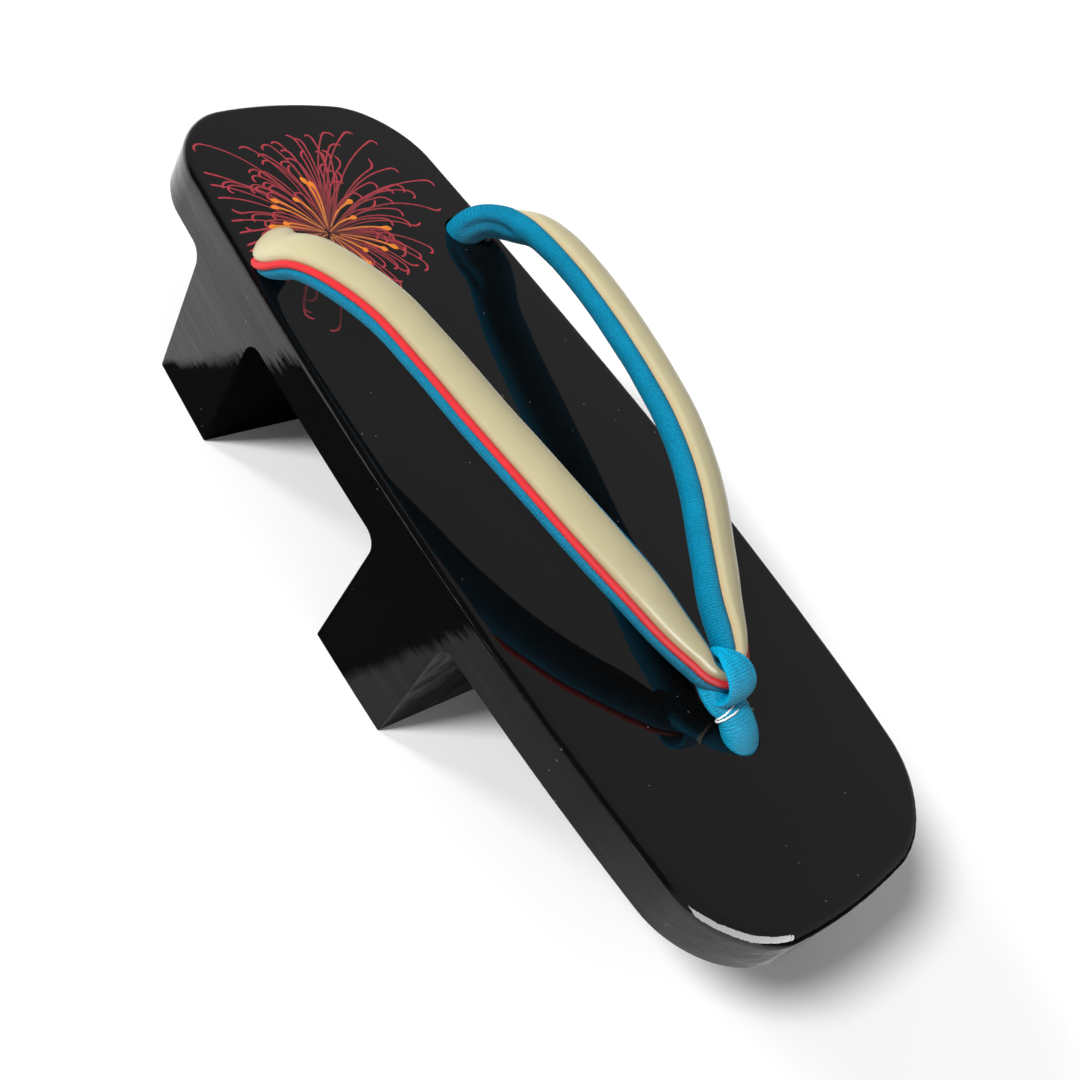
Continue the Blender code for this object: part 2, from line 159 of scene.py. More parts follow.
class StrapSettings(bpy.types.PropertyGroup):
    width: length("Width", "Padded strap, across", 12.4 * MM)
    thickness: length("Thickness", "Padded strap, through", 8.6 * MM)
    rise: length("Rise", "Height of the arms over the deck", 20 * MM)
    piping: length("Piping", "Diameter of the red cord", 1.65 * MM)
    rib_pitch: length("Rib pitch", "Distance from rib to rib of the cloth", 0.62 * MM)
    rib_depth: length("Rib depth", "Height of a rib", 0.07 * MM)
    satin: colour("Satin", "Top of the strap", (0.42, 0.375, 0.225))
    cord: colour("Cord", "Piping", (0.56, 0.022, 0.028))
    cloth: colour("Ribbed cloth", "Underside of the strap", (0.0008, 0.185, 0.32))


class KnotSettings(bpy.types.PropertyGroup):
    post_width: length("Post width", "Across the post", 9.6 * MM)
    post_thickness: length("Post thickness", "Through the post", 7 * MM)
    band_width: length("Band width", "Loop over the strap's point", 8.8 * MM)
    band_thickness: length("Band thickness", "Cloth of the loop", 2.3 * MM)
    thread: length("Thread", "Diameter of the white sewing thread", 0.45 * MM)
    # Painted light: lighter than the strap's ribbed cloth, standing in for light from the toe's
    # side on the loop
    cloth: colour("Loop cloth", "Band and post of the loop", (0.0006, 0.32, 0.54))


class BurstSettings(bpy.types.PropertyGroup):
    reach: length("Reach", "Longest painted ray", 45 * MM)
    line: length("Line", "Width of a painted ray", 0.46 * MM)
    rays: IntProperty(name="Rays", description="Thin outer rays", default=112, min=1)
    strokes: IntProperty(name="Strokes", description="Short inner strokes", default=21, min=1)
    seed: IntProperty(name="Seed", description="Draw of the rays", default=7)
    heart: colour("Heart", "Rays at the burst's centre", (0.11, 0.026, 0.020))
    red: colour("Red", "Rays at their tips", (0.40, 0.034, 0.055))
    ochre: colour("Ochre", "Inner strokes at the centre", (0.38, 0.13, 0.05))
    orange: colour("Orange", "Inner strokes at their tips", (0.76, 0.21, 0.018))


class StageSettings(bpy.types.PropertyGroup):
    floor: colour("Floor", "Colour of the floor", (0.90, 0.90, 0.90))
    key: amount("Key", "Strength of the soft key light", 3.4)
    low: amount("Low", "Strength of the low light from the heel's side", 1.45)
    fill: amount("Fill", "Strength of the room's light", 0.32)
    gloss: amount("Gloss", "The room as the lacquer mirrors it", 0.28)
    lens: amount("Lens", "Focal length in mm", 48.1)


# Curves and sweeps

def through(rows, steps):
    """A smooth curve through rows of numbers: Catmull-Rom, as an array of rows."""
    rows = np.array(rows, dtype=float)
    padded = np.vstack([2 * rows[0] - rows[1], rows, 2 * rows[-1] - rows[-2]])
    out = []
    for i in range(1, len(padded) - 2):
        a, b, c, d = padded[i - 1:i + 3]
        for k in range(steps):
            t = k / steps
            out.append(0.5 * (2 * b + (c - a) * t + (2 * a - 5 * b + 4 * c - d) * t ** 2
                              + (3 * b - a - 3 * c + d) * t ** 3))
    out.append(padded[-2])
    return np.array(out)


def distances(points):
    """Distance along a route at each of its points."""
    return np.concatenate([[0.0], np.cumsum(np.linalg.norm(np.diff(points, axis=0), axis=1))])


def even(rows, step):
    """The same route with its rows an even distance apart."""
    along = distances(rows[:, :3])
    at = np.linspace(0, along[-1], int(round(along[-1] / step)) + 1)
    return np.column_stack([np.interp(at, along, column) for column in rows.T]), at


def eased_ends(rows, at, bend, run):
    """The route with its bends rounded off over a run at both ends, and less beyond."""
    count = max(1, int(bend / at[1]))
    kernel = np.hanning(2 * count + 3)[1:-1]
    padded = np.pad(rows[:, :3], ((count, count), (0, 0)), mode="reflect", reflect_type="odd")
    soft = np.column_stack([np.convolve(column, kernel / kernel.sum(), "valid")
                            for column in padded.T])
    weight = 1 - ease((np.minimum(at, at[-1] - at) - run) / run)
    rows[:, :3] += (soft - rows[:, :3]) * weight[:, None]
    return rows


def upright_frames(points, start):
    """Side and up vectors along a route, carried from one point without twisting."""
    tangents = np.gradient(points, axis=0)
    tangents /= np.linalg.norm(tangents, axis=1)[:, None]
    ups = np.zeros_like(points)
    ups[start] = up = np.array((0.0, 0.0, 1.0))
    for order in (range(start + 1, len(points)), range(start - 1, -1, -1)):
        current = up
        for i in order:
            current = current - tangents[i] * np.dot(current, tangents[i])
            current = current / np.linalg.norm(current)
            ups[i] = current
    return np.cross(ups, tangents), ups


def oval(wide, thick, angle, out=0.0):
    """Points of oval sections: wide and thick are columns, angle a row of degrees."""
    t = np.radians(angle)
    a, b = wide[:, None] / 2, thick[:, None] / 2
    place = np.stack([a * np.cos(t), b * np.sin(t)], axis=-1)
    normal = np.stack([b * np.cos(t), a * np.sin(t)], axis=-1)
    normal /= np.linalg.norm(normal, axis=-1)[..., None]
    return place + np.asarray(out)[..., None] * normal


def arc_angle(wide, thick, angle, run):
    """Degrees of an oval's own angle that a short run of its edge takes up."""
    t = np.radians(angle)
    return np.degrees(run / np.hypot(wide / 2 * np.sin(t), thick / 2 * np.cos(t)))


def ring_angles(count):
    """Degrees evenly round a section, as one row."""
    return np.linspace(0, 360, count, endpoint=False)[None]


def ease(x):
    x = np.clip(x, 0, 1)
    return x * x * (3 - 2 * x)


def wander(at, seed, pitch):
    """A smooth random curve of distance, about -1 to 1."""
    draw = np.random.RandomState(seed)
    count = int(at.max() / pitch) + 4
    knots = draw.uniform(-1, 1, count)
    x = at / pitch + 1
    i = np.floor(x).astype(int)
    f = ease(x - i)
    return knots[i] * (1 - f) + knots[i + 1] * f


# How far the ribs stray in pitch and in height, and the distance over which they do
RIB_STRAY, RIB_STRAY_RUN = 0.22, 2.3 * MM
RIB_FADE, RIB_FADE_RUN = 0.2, 1.7 * MM


def rib_wave(at, pitch, seed):
    """Ribs along a distance, 0 to 1, their pitch and height a little uneven."""
    phase = at / pitch + RIB_STRAY * wander(at, seed, RIB_STRAY_RUN)
    height = 1 - RIB_FADE + RIB_FADE * wander(at, seed + 1, RIB_FADE_RUN)
    return 0.5 - 0.5 * np.cos(2 * np.pi * phase) * height


def lay(rows, side, up, flat):
    """Flat section points set at their places along a route."""
    return rows[:, None, :3] + side[:, None] * flat[..., :1] + up[:, None] * flat[..., 1:]


def shell(rows, side, up, angle, out=0.0):
    """Points round the oval sections of a route, at their places."""
    return lay(rows, side, up, oval(rows[:, 3], rows[:, 4], angle, out))


def cells(grid):
    """The four corners of every cell of a grid."""
    return np.stack([grid[:-1, :-1], grid[:-1, 1:], grid[1:, 1:], grid[1:, :-1]], axis=2)


def smooth_mesh(bm, mesh):
    """Write a bmesh into a mesh, its faces turned outward and smooth."""
    bmesh.ops.recalc_face_normals(bm, faces=bm.faces)
    bm.to_mesh(mesh)
    bm.free()
    mesh.shade_smooth()
    return mesh


def tube_mesh(name, grid, along, tone=None, closed=False):
    """A mesh through rings of points, with capped ends or closed into a ring itself.

    The map named cloth holds metres round and along it, and the attribute tone a value a point,
    which paints shade on the cloth.
    """
    rows, cols = grid.shape[:2]
    index = np.arange(rows * cols).reshape(rows, cols)
    faces = cells(np.hstack([index, index[:, :1]])).reshape(-1, 4).tolist()
    if not closed:
        faces += [index[0, ::-1].tolist(), index[-1].tolist()]
    mesh = bpy.data.meshes.new(name)
    mesh.from_pydata(grid.reshape(-1, 3).tolist(), [], faces)
    round_it = np.linalg.norm(np.diff(np.hstack([grid, grid[:, :1]]), axis=1), axis=2)
    girth = np.hstack([np.zeros((rows, 1)), np.cumsum(round_it, axis=1)])
    place = cells(np.stack([girth, np.broadcast_to(along[:, None], girth.shape)], axis=-1))
    flat = np.zeros((len(mesh.loops), 2))
    flat[:place.size // 2] = place.reshape(-1, 2)
    mesh.uv_layers.new(name="cloth").data.foreach_set("uv", flat.ravel())
    if tone is not None:
        value = np.broadcast_to(tone, (rows, cols)).ravel()
        mesh.attributes.new("tone", "FLOAT", "POINT").data.foreach_set("value", value)
    bm = bmesh.new()
    bm.from_mesh(mesh)
    if closed:
        bmesh.ops.remove_doubles(bm, verts=bm.verts, dist=WELD)
    return smooth_mesh(bm, mesh)


def skin(bm, rings):
    """Add the closed skin through rings of points."""
    loops = [[bm.verts.new(p) for p in ring] for ring in rings]
    count = len(loops[0])
    for low, high in zip(loops, loops[1:]):
        for i in range(count):
            j = (i + 1) % count
            bm.faces.new((low[i], low[j], high[j], high[i]))
    bm.faces.new(loops[0])
    bm.faces.new(loops[-1])


def link(name, data):
    """A new object in the scene."""
    made = bpy.data.objects.new(name, data)
    bpy.context.scene.collection.objects.link(made)
    return made


def place_piece(name, mesh, material, slot, *nodes, fill=None):
    """Link a mesh as a piece of the sandal, in the place of the named solids."""
    piece = link(name, mesh)
    mesh.name = name
    mesh.materials.clear()
    mesh.materials.append(material)
    if nodes:
        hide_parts(*nodes)
    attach(piece, BODY)
    return piece


# Shader nodes

SHADER = "Principled BSDF"

# Roughness, gloss, sheen and how uneven the dye is; scales of noise are per metre
CLOTHS = {
    # name: (roughness, specular, sheen, sheen_roughness, sheen_tint, tone_scale, tone_amount)
    "ribbed_cloth": (0.78, 0.20, 0.12, 0.40, (0.1, 0.7, 1.0, 1), 220.0, 0.35),
    "cream_satin": (0.36, 0.50, 0.12, 0.35, (1.0, 0.97, 0.86, 1), 90.0, 0.10),
    "red_piping": (0.60, 0.25, 0.06, 0.40, (1.0, 0.6, 0.55, 1), 260.0, 0.18),
}
# Painted shade where the satin rolls into its seams
PAINTED_SEAM_SHADE = (0.42, 0.30, 0.16, 1)
DUST_COLOUR = (0.10, 0.10, 0.10, 1)

# Ripples of the lacquer: fine ones under slow ones
RIPPLES = [
    # scale, detail, strength, height
    (620.0, 3.0, 0.55, 0.18 * MM),
    (110.0, 1.0, 0.70, 0.90 * MM),
]


def add(tree, kind, inputs=None, **settings):
    """Add a node, set its fields, and link or set its inputs."""
    made = tree.nodes.new("ShaderNode" + kind)
    for key, value in settings.items():
        setattr(made, key, value)
    for key, value in (inputs or {}).items():
        socket = made.inputs[key]
        if isinstance(value, bpy.types.NodeSocket):
            tree.links.new(value, socket)
        else:
            socket.default_value = value
    return made


def maths(tree, operation, *values, clamp=False):
    return add(tree, "Math", dict(enumerate(values)), operation=operation,
               use_clamp=clamp).outputs[0]


def remap(tree, value, start, stop, low=0.0, high=1.0):
    """A value from start to stop turned into one from low to high, and kept between them."""
    return add(tree, "MapRange", {"Value": value, "From Min": start, "From Max": stop,
                                  "To Min": low, "To Max": high}).outputs[0]


def blend(tree, factor, a, b, kind="RGBA"):
    return add(tree, "Mix", {"Factor": factor, "A": a, "B": b},
               data_type=kind).outputs["Result"]


def lit(tree, base, value):
    """A colour made darker or lighter."""
    return add(tree, "HueSaturation", {"Color": base, "Value": value}).outputs["Color"]


def noise(tree, place, scale, detail):
    return add(tree, "TexNoise", {"Vector": place, "Scale": scale,
                                  "Detail": detail}).outputs["Fac"]


def bump(tree, height, strength, distance, under=None):
    """A bumped normal, laid over another where one is given."""
    inputs = {"Height": height, "Strength": strength, "Distance": distance}
    if under:
        inputs["Normal"] = under
    return add(tree, "Bump", inputs).outputs[0]


def own_place(tree):
    return add(tree, "TexCoord").outputs["Object"]


def own_tone_and_shade(tree):
    return add(tree, "Attribute", attribute_name="tone").outputs["Fac"]


def use_group(tree, name, **inputs):
    """The output of a shared effect."""
    return add(tree, "Group", inputs, node_tree=bpy.data.node_groups[name]).outputs[0]


def new_group(name, inputs, result):
    """A shader group, its input sockets and its one output; a colour has no default."""
    tree = bpy.data.node_groups.new(name, "ShaderNodeTree")
    for label, value in inputs.items():
        kind = "NodeSocketColor" if value is None else "NodeSocketFloat"
        socket = tree.interface.new_socket(label, in_out="INPUT", socket_type=kind)
        if value is not None:
            socket.default_value = value
    kind = "NodeSocketColor" if result == "Color" else "NodeSocketFloat"
    tree.interface.new_socket(result, in_out="OUTPUT", socket_type=kind)
    given = tree.nodes.new("NodeGroupInput").outputs
    return tree, given, tree.nodes.new("NodeGroupOutput").inputs[0]


def build_groups():
    """The effects that several finishes share: uneven dye, cloth grain and dust."""
    if "Uneven tone" in bpy.data.node_groups:
        return
    tree, given, out = new_group("Uneven tone", {"Color": None, "Scale": 60.0, "Amount": 0.1},
                                 "Color")
    spread = maths(tree, "SUBTRACT", noise(tree, own_place(tree), given["Scale"], 4.0), 0.5)
    lift = maths(tree, "ADD", maths(tree, "MULTIPLY", spread, given["Amount"]), 1.0)
    tree.links.new(lit(tree, given["Color"], lift), out)

    tree, given, out = new_group("Cloth grain", {"Round": 2500.0, "Along": 2500.0}, "Height")
    cloth = add(tree, "UVMap", uv_map="cloth")
    parts = add(tree, "SeparateXYZ", {0: cloth.outputs["UV"]}).outputs
    place = add(tree, "CombineXYZ", {
        "X": maths(tree, "MULTIPLY", parts["X"], given["Round"]),
        "Y": maths(tree, "MULTIPLY", parts["Y"], given["Along"])})
    tree.links.new(noise(tree, place.outputs[0], 1.0, 2.0), out)

    tree, given, out = new_group("Dust", {"Scale": 180.0, "Size": 0.05, "Share": 0.8}, "Mask")
    specks = add(tree, "TexVoronoi", {"Vector": own_place(tree), "Scale": given["Scale"]}).outputs
    drawn = add(tree, "SeparateColor", {0: specks["Color"]}).outputs[0]
    tree.links.new(maths(tree, "MULTIPLY",
                         maths(tree, "LESS_THAN", specks["Distance"], given["Size"]),
                         maths(tree, "GREATER_THAN", drawn, given["Share"])), out)


def new_material(name, values):
    """A material with its Principled shader set to plain values."""
    made = bpy.data.materials.new(name)
    made.use_nodes = True
    for key, value in values.items():
        made.node_tree.nodes[SHADER].inputs[key].default_value = value
    return made, made.node_tree


def new_cloth(name, base):
    """A cloth's material with its uneven colour."""
    roughness, specular, sheen, sheen_roughness, tint, scale, uneven = CLOTHS[name]
    made, tree = new_material(name, {
        "Roughness": roughness, "Specular IOR Level": specular, "Sheen Weight": sheen,
        "Sheen Roughness": sheen_roughness, "Sheen Tint": tint})
    tone = use_group(tree, "Uneven tone", Color=(*base, 1), Scale=scale, Amount=uneven)
    return made, tree, tone


def finished(material, base, normal=None):
    """Link the colour and the normal of a material's shader."""
    tree = material.node_tree
    tree.links.new(base, tree.nodes[SHADER].inputs["Base Color"])
    if normal:
        tree.links.new(normal, tree.nodes[SHADER].inputs["Normal"])
    return material


def lacquer_material(base):
    """Black gloss lacquer over wood: slow ripples along the grain, and specks of dust."""
    made, tree = new_material("black_lacquer", {"Roughness": 0.035, "IOR": 1.5})
    tone = use_group(tree, "Uneven tone", Color=(*base, 1), Scale=40.0, Amount=0.5)
    dust = use_group(tree, "Dust", Scale=330.0, Size=0.06, Share=0.86)
    grain = add(tree, "Mapping", {"Vector": own_place(tree),
                                  "Scale": (1.0, 0.12, 1.0)}).outputs[0]
    facing = add(tree, "SeparateXYZ", {
        0: add(tree, "NewGeometry").outputs["Normal"]}).outputs["Z"]
    steep = remap(tree, facing, 0.75, 0.98, 1.0, 0.02)
    normal = None
    for scale, detail, strength, height in RIPPLES:
        ripple = maths(tree, "MULTIPLY", noise(tree, grain, scale, detail), steep)
        normal = bump(tree, ripple, strength, height, normal)
    return finished(made, blend(tree, dust, tone, DUST_COLOUR), normal)


def ribbed_material(base):
    """Ribbed cloth: matt, with painted shade between its ribs and at its rolled seams, and a
    short nap.
    """
    made, tree, tone = new_cloth("ribbed_cloth", base)
    grain = use_group(tree, "Cloth grain", Round=1900.0, Along=2600.0)
    # Painted shade: darker where the point tone is low, between the ribs and at the rolled seams
    shaded = lit(tree, tone, remap(tree, own_tone_and_shade(tree), 0.0, 1.0, 0.68, 1.06))
    shaded = lit(tree, shaded, remap(tree, grain, 0.3, 0.7, 0.72, 1.22))
    return finished(made, shaded, bump(tree, grain, 0.8, 0.2 * MM))


def satin_material(base):
    """Cream satin: a soft lengthwise sheen over fine floats of thread, with painted shade where
    it rolls into its seams.
    """
    made, tree, tone = new_cloth("cream_satin", base)
    floats = use_group(tree, "Cloth grain", Round=4200.0, Along=700.0)
    creases = use_group(tree, "Cloth grain", Round=130.0, Along=60.0)
    normal = bump(tree, creases, 0.35, 0.8 * MM, bump(tree, floats, 0.25, 0.06 * MM))
    # Painted shade: the seam colour where the point tone is low
    return finished(made, blend(tree, own_tone_and_shade(tree), PAINTED_SEAM_SHADE, tone), normal)


def cord_material(base):
    """Red piping: tight plain cloth over a cord."""
    made, tree, tone = new_cloth("red_piping", base)
    grain = use_group(tree, "Cloth grain", Round=3000.0, Along=3600.0)
    return finished(made, tone, bump(tree, grain, 0.3, 0.1 * MM))


def paint_material(name, heart, tip):
    """Raised paint of the burst: half gloss, a little uneven, from a heart to a tip colour."""
    made, tree = new_material(name, {"Roughness": 0.4, "Specular IOR Level": 0.5})
    both = blend(tree, own_tone_and_shade(tree), (*heart, 1), (*tip, 1))
    return finished(made, use_group(tree, "Uneven tone", Color=both, Scale=420.0, Amount=0.5))


# The block

# The deck's rounded corners and the bulge of its ends; the handle makes a cubic round
HEEL_REACH, TOE_REACH = 17.1 * MM, 19.3 * MM
HEEL_BULGE, TOE_BULGE = 5.6 * MM, 5.1 * MM
ROUND_HANDLE = 0.5523
TOE_RIM_START = 0.82
SIDE_STEPS, CORNER_STEPS, END_STEPS, RIM_STEPS = 40, 20, 14, 6

# The teeth's middles from the heel, the rear one's taper, and the rounding at their roots
FRONT_TOOTH, REAR_TOOTH = 132.3 * MM, 48.1 * MM
REAR_TAPER = 2.4 * MM
ROOT_RADIUS = 4 * MM
ROOT_STEPS = 8
# How far the cutters run out past the wood
RUN_OUT = 5 * MM

# Degrees: faces flatter than the first are one, the edges over the second are worn, and over
# the third sharp
FLAT_ANGLE, WORN_ANGLE, SHARP_ANGLE = 0.3, 30, 42


def side_half_width(y, width):
    """Half the deck's width at a distance from the heel: a cubic through the table's rows."""
    rows = [(along * DECK_LENGTH, share * width / 2) for along, share in DECK_SIDE]
    total = 0.0
    for i, (yi, wi) in enumerate(rows):
        weight = 1.0
        for j, (yj, _) in enumerate(rows):
            if i != j:
                weight *= (y - yj) / (yi - yj)
        total += wi * weight
    return total


def end_line(x, toe, width):
    """Distance from the heel of the gently bulged front or back edge."""
    half = DECK_SIDE[-1 if toe else 0][1] * width / 2
    if toe:
        return DECK_LENGTH - TOE_BULGE * (x / half) ** 2
    return HEEL_BULGE * (x / half) ** 2


def corner_arc(toe, width):
    """Rounded corner on the right, as points from the side to the end."""
    reach = TOE_REACH if toe else HEEL_REACH
    sign = 1 if toe else -1
    y = DECK_LENGTH if toe else 0.0
    for _ in range(8):
        x = side_half_width(y, width)
        y = end_line(x, toe, width)
    step = 0.1 * MM
    y0, x1 = y - sign * reach, x - reach
    start = Vector((side_half_width(y0, width), y0))
    end = Vector((x1, end_line(x1, toe, width)))
    side_run = Vector((side_half_width(y0 + step, width) - side_half_width(y0 - step, width),
                       2 * step)) * sign
    end_run = Vector((2 * step, end_line(x1 + step, toe, width)
                      - end_line(x1 - step, toe, width)))
    a = start + side_run / (2 * step) * reach * ROUND_HANDLE
    b = end + end_run / (2 * step) * reach * ROUND_HANDLE
    points = []
    for i in range(CORNER_STEPS + 1):
        t = i / CORNER_STEPS
        points.append(start * (1 - t) ** 3 + a * 3 * t * (1 - t) ** 2
                      + b * 3 * t * t * (1 - t) + end * t ** 3)
    return points


def deck_outline(width):
    """The deck seen from above, counter-clockwise, y from the heel."""
    heel, toe = corner_arc(False, width), corner_arc(True, width)
    right = [Vector((x, end_line(x, False, width)))
             for x in (heel[-1].x * i / END_STEPS for i in range(END_STEPS))]
    right += reversed(heel)
    right += [Vector((side_half_width(y, width), y))
              for y in (heel[0].y + (toe[0].y - heel[0].y) * i / SIDE_STEPS
                        for i in range(1, SIDE_STEPS))]
    right += toe
    right += [Vector((x, end_line(x, True, width)))
              for x in (toe[-1].x * (1 - i / END_STEPS) for i in range(1, END_STEPS + 1))]
    return right + [Vector((-p.x, p.y)) for p in reversed(right[1:-1])]


def rim_ring(outline, angle, sole):
    """The outline taken up and in over the rounded top edge, which widens at the toe."""
    start = TOE_RIM_START * DECK_LENGTH
    ring = []
    for i, p in enumerate(outline):
        run = outline[(i + 1) % len(outline)] - outline[i - 1]
        widening = float(ease((p.y - start) / (DECK_LENGTH - start)))
        radius = sole.rim + (sole.toe_rim - sole.rim) * widening
        moved = p + radius * (1 - math.cos(angle)) * Vector((-run.y, run.x)).normalized()
        ring.append((moved.x, moved.y + HEEL_Y, BLOCK_TOP - radius * (1 - math.sin(angle))))
    return ring


def solid(name, rings):
    """A closed solid through rings of points, as an object."""
    bm = bmesh.new()
    skin(bm, rings)
    bmesh.ops.recalc_face_normals(bm, faces=bm.faces)
    mesh = bpy.data.meshes.new(name)
    bm.to_mesh(mesh)
    bm.free()
    return link(name, mesh)


def apply_modifiers(target):
    graph = bpy.context.evaluated_depsgraph_get()
    mesh = bpy.data.meshes.new_from_object(target.evaluated_get(graph))
    target.modifiers.clear()
    old = target.data
    target.data = mesh
    bpy.data.meshes.remove(old)


def cut(target, cutter):
    """Take one solid away from another with the exact solver."""
    modifier = target.modifiers.new("cut", "BOOLEAN")
    modifier.operation = "DIFFERENCE"
    modifier.solver = "EXACT"
    modifier.object = cutter
    apply_modifiers(target)
    bpy.data.objects.remove(cutter)


def tooth_gap(back, front, height, roots, taper=0.0):
    """Profile in y and z of the wood sawn away beside a tooth, its root corners rounded."""
    radius = ROOT_RADIUS
    slope = taper / (height - radius)
    points = [Vector((back, -RUN_OUT)), Vector((front + taper + slope * RUN_OUT, -RUN_OUT))]
    for end, y, side in ((1, front, -1), (0, back, 1)):
        if not roots[end]:
            points.append(Vector((y, height)))
            continue
        centre = Vector((y + side * radius, height - radius))
        arc = []
        for i in range(ROOT_STEPS + 1):
            angle = math.pi / 2 * i / ROOT_STEPS
            arc.append(centre + radius * Vector((-side * math.cos(angle), math.sin(angle))))
        points += arc if end else reversed(arc)
    return points


class GETA_OT_block(bpy.types.Operator):
    """Carve the lacquered block with its two teeth and strap holes"""
    bl_idname = "geta.block"
    bl_label = "Lacquered block"

    def execute(self, context):
        build_groups()
        scene = context.scene
        sole, knot, strap = scene.geta_sole, scene.geta_knot, scene.geta_strap
        outline = deck_outline(sole.width)
        rings = [[(p.x, p.y + HEEL_Y, 0.0) for p in outline]]
        rings += [rim_ring(outline, math.pi / 2 * i / RIM_STEPS, sole)
                  for i in range(RIM_STEPS + 1)]
        block = solid("lacquered_block", rings)
        height = BLOCK_TOP - sole.thickness
        rear, front, half = HEEL_Y + REAR_TOOTH, HEEL_Y + FRONT_TOOTH, sole.tooth / 2
        for profile in (
                tooth_gap(HEEL_Y - RUN_OUT, rear - half, height, (False, True), REAR_TAPER),
                tooth_gap(rear + half, front - half, height, (True, True)),
                tooth_gap(front + half, RUN_OUT - HEEL_Y, height, (True, False))):
            cut(block, solid("gap", [[(x, *p) for p in profile]
                                     for x in (-sole.width, sole.width)]))
        self.wear(block, sole.edge)
        cut(block, strap_space(strap))
        cut(block, post_space(knot, strap, 2 * sole.thickness))
        mesh = block.data
        mesh.shade_smooth()
        mesh.set_sharp_from_angle(angle=math.radians(SHARP_ANGLE))
        bpy.data.objects.remove(block)
        piece = place_piece("lacquered_block", mesh, lacquer_material(sole.lacquer),
                            "lacquered_wood", "sole_block")
        weighted = piece.modifiers.new("flat faces", "WEIGHTED_NORMAL")
        weighted.keep_sharp = True
        weighted.weight = 100
        return {"FINISHED"}

    def wear(self, block, edge):
        """Join the flat faces and round the sawn edges off."""
        bm = bmesh.new()
        bm.from_mesh(block.data)
        bmesh.ops.remove_doubles(bm, verts=bm.verts, dist=WELD)
        bmesh.ops.dissolve_limit(bm, angle_limit=math.radians(FLAT_ANGLE), verts=bm.verts,
                                 edges=bm.edges)
        bm.to_mesh(block.data)
        bm.free()
        bevel = block.modifiers.new("edge", "BEVEL")
        bevel.width = edge
        bevel.segments = 3
        bevel.limit_method = "ANGLE"
        bevel.angle_limit = math.radians(WORN_ANGLE)
        bevel.use_clamp_overlap = False
        apply_modifiers(block)


# The strap

REAR_HOLE, HOLE_SPREAD = 48.8 * MM, 0.651 * 86 * MM
TAIL_DEPTH = 9 * MM
POINT_FROM_HEEL, POINT_OFFSET = 183.6 * MM, 3.1 * MM
COVER_DEPTH = 1.0 * MM
PIPING_PROUD = 0.40 * MM
# The cloth rolls in at its seams: how far in from the edge, and how deep
LINING_ROLL, LINING_SINK = 1.0 * MM, 0.55 * MM
COVER_ROLL, COVER_SINK = 1.1 * MM, 0.7 * MM
# Mean radius under the cover, as a share of half the strap's width
COVER_RADIUS = 0.62
# Slow unevenness: its height and the distance over which it changes
LUMP, LUMP_RUN = 0.10 * MM, 9 * MM
CREASE, CREASE_RUN = 0.05 * MM, 4 * MM
EDGE_STRAY, EDGE_STRAY_RUN = 0.15 * MM, 6 * MM
CORD_SWELL, CORD_SWELL_RUN = 0.025, 1.6 * MM
# The cover's padding, and the distance from the holes over which it comes free
CROWN, FREE_RUN = 0.12 * MM, 16 * MM

# Where the piping and the cover's far edge run round the strap, in degrees from the outer edge
SEAM_STATIONS = [
    # along, left_piping, right_piping, left_edge, right_edge
    (0.000, 8, 6, 120, 170),
    (0.062, 14, 20, 132, 166),
    (0.200, 18, 32, 140, 158),
    (0.700, 16, 32, 134, 154),
    (0.950, 14, 30, 128, 150),
    (1.000, 26, 26, 141, 141),
]
ROUTE_STEPS = 24
# The bends over the rear holes are rounded off over the first, up to the second from a hole
END_BEND, END_RUN = 5 * MM, 24 * MM

# Folds pressed into the ribbed cloth: degrees round the section, distances from the left hole
REAR_FOLDS = [
    # turn, start, stop, depth
    (205, 9 * MM, 30 * MM, 0.9 * MM),
    (262, 10 * MM, 24 * MM, 0.6 * MM),
    (318, 12 * MM, 38 * MM, 0.5 * MM),
]
# A fold's half width and its turn for each metre along, in degrees, and how it starts and stops
FOLD_WIDTH, FOLD_TURN = 13, 0.9 / MM
FOLD_START, FOLD_STOP = 3 * MM, 6 * MM


def strap_sections(strap, step):
    """Sections of the whole strap, left hole to point to right hole, an even step apart."""
    reach = POINT_FROM_HEEL - REAR_HOLE
    places = np.array(SEAM_STATIONS)
    left, right = [], []
    for along, left_out, right_out, left_up, right_up, *shape, left_cover, right_cover in (
            STRAP_STATIONS):
        y = HEEL_Y + REAR_HOLE + along * reach
        wide, thick, lean = shape
        left_seam, right_seam, left_edge, right_edge = (
            float(np.interp(along, places[:, 0], column)) for column in places[:, 1:].T)
        for side, out, up, cover, seam, edge, rows in (
                (-1, left_out, left_up, left_cover, left_seam, left_edge, left),
                (1, right_out, right_up, right_cover, right_seam, right_edge, right)):
            x = POINT_OFFSET * along + side * out * HOLE_SPREAD / 2
            rows.append((x, y, BLOCK_TOP + up * strap.rise, wide * strap.width,
                         thick * strap.thickness, lean, min(cover, 1.0), seam, edge))
    for rows in (left, right):
        x, y, _, *shape = rows[0]
        rows.insert(0, (x, y, BLOCK_TOP - TAIL_DEPTH, *shape))
    rows = through(left + right[-2::-1], ROUTE_STEPS)
    middle = distances(rows[:, :3])[len(rows) // 2]
    rows, at = even(rows, step)
    rows = eased_ends(rows, at, END_BEND, END_RUN)
    sides, ups = upright_frames(rows[:, :3], int(np.argmin(np.abs(at - middle))))
    dip = np.radians(rows[:, 5])[:, None]
    tilted = (sides * np.cos(dip) - ups * np.sin(dip), ups * np.cos(dip) + sides * np.sin(dip))
    return rows, at, *tilted


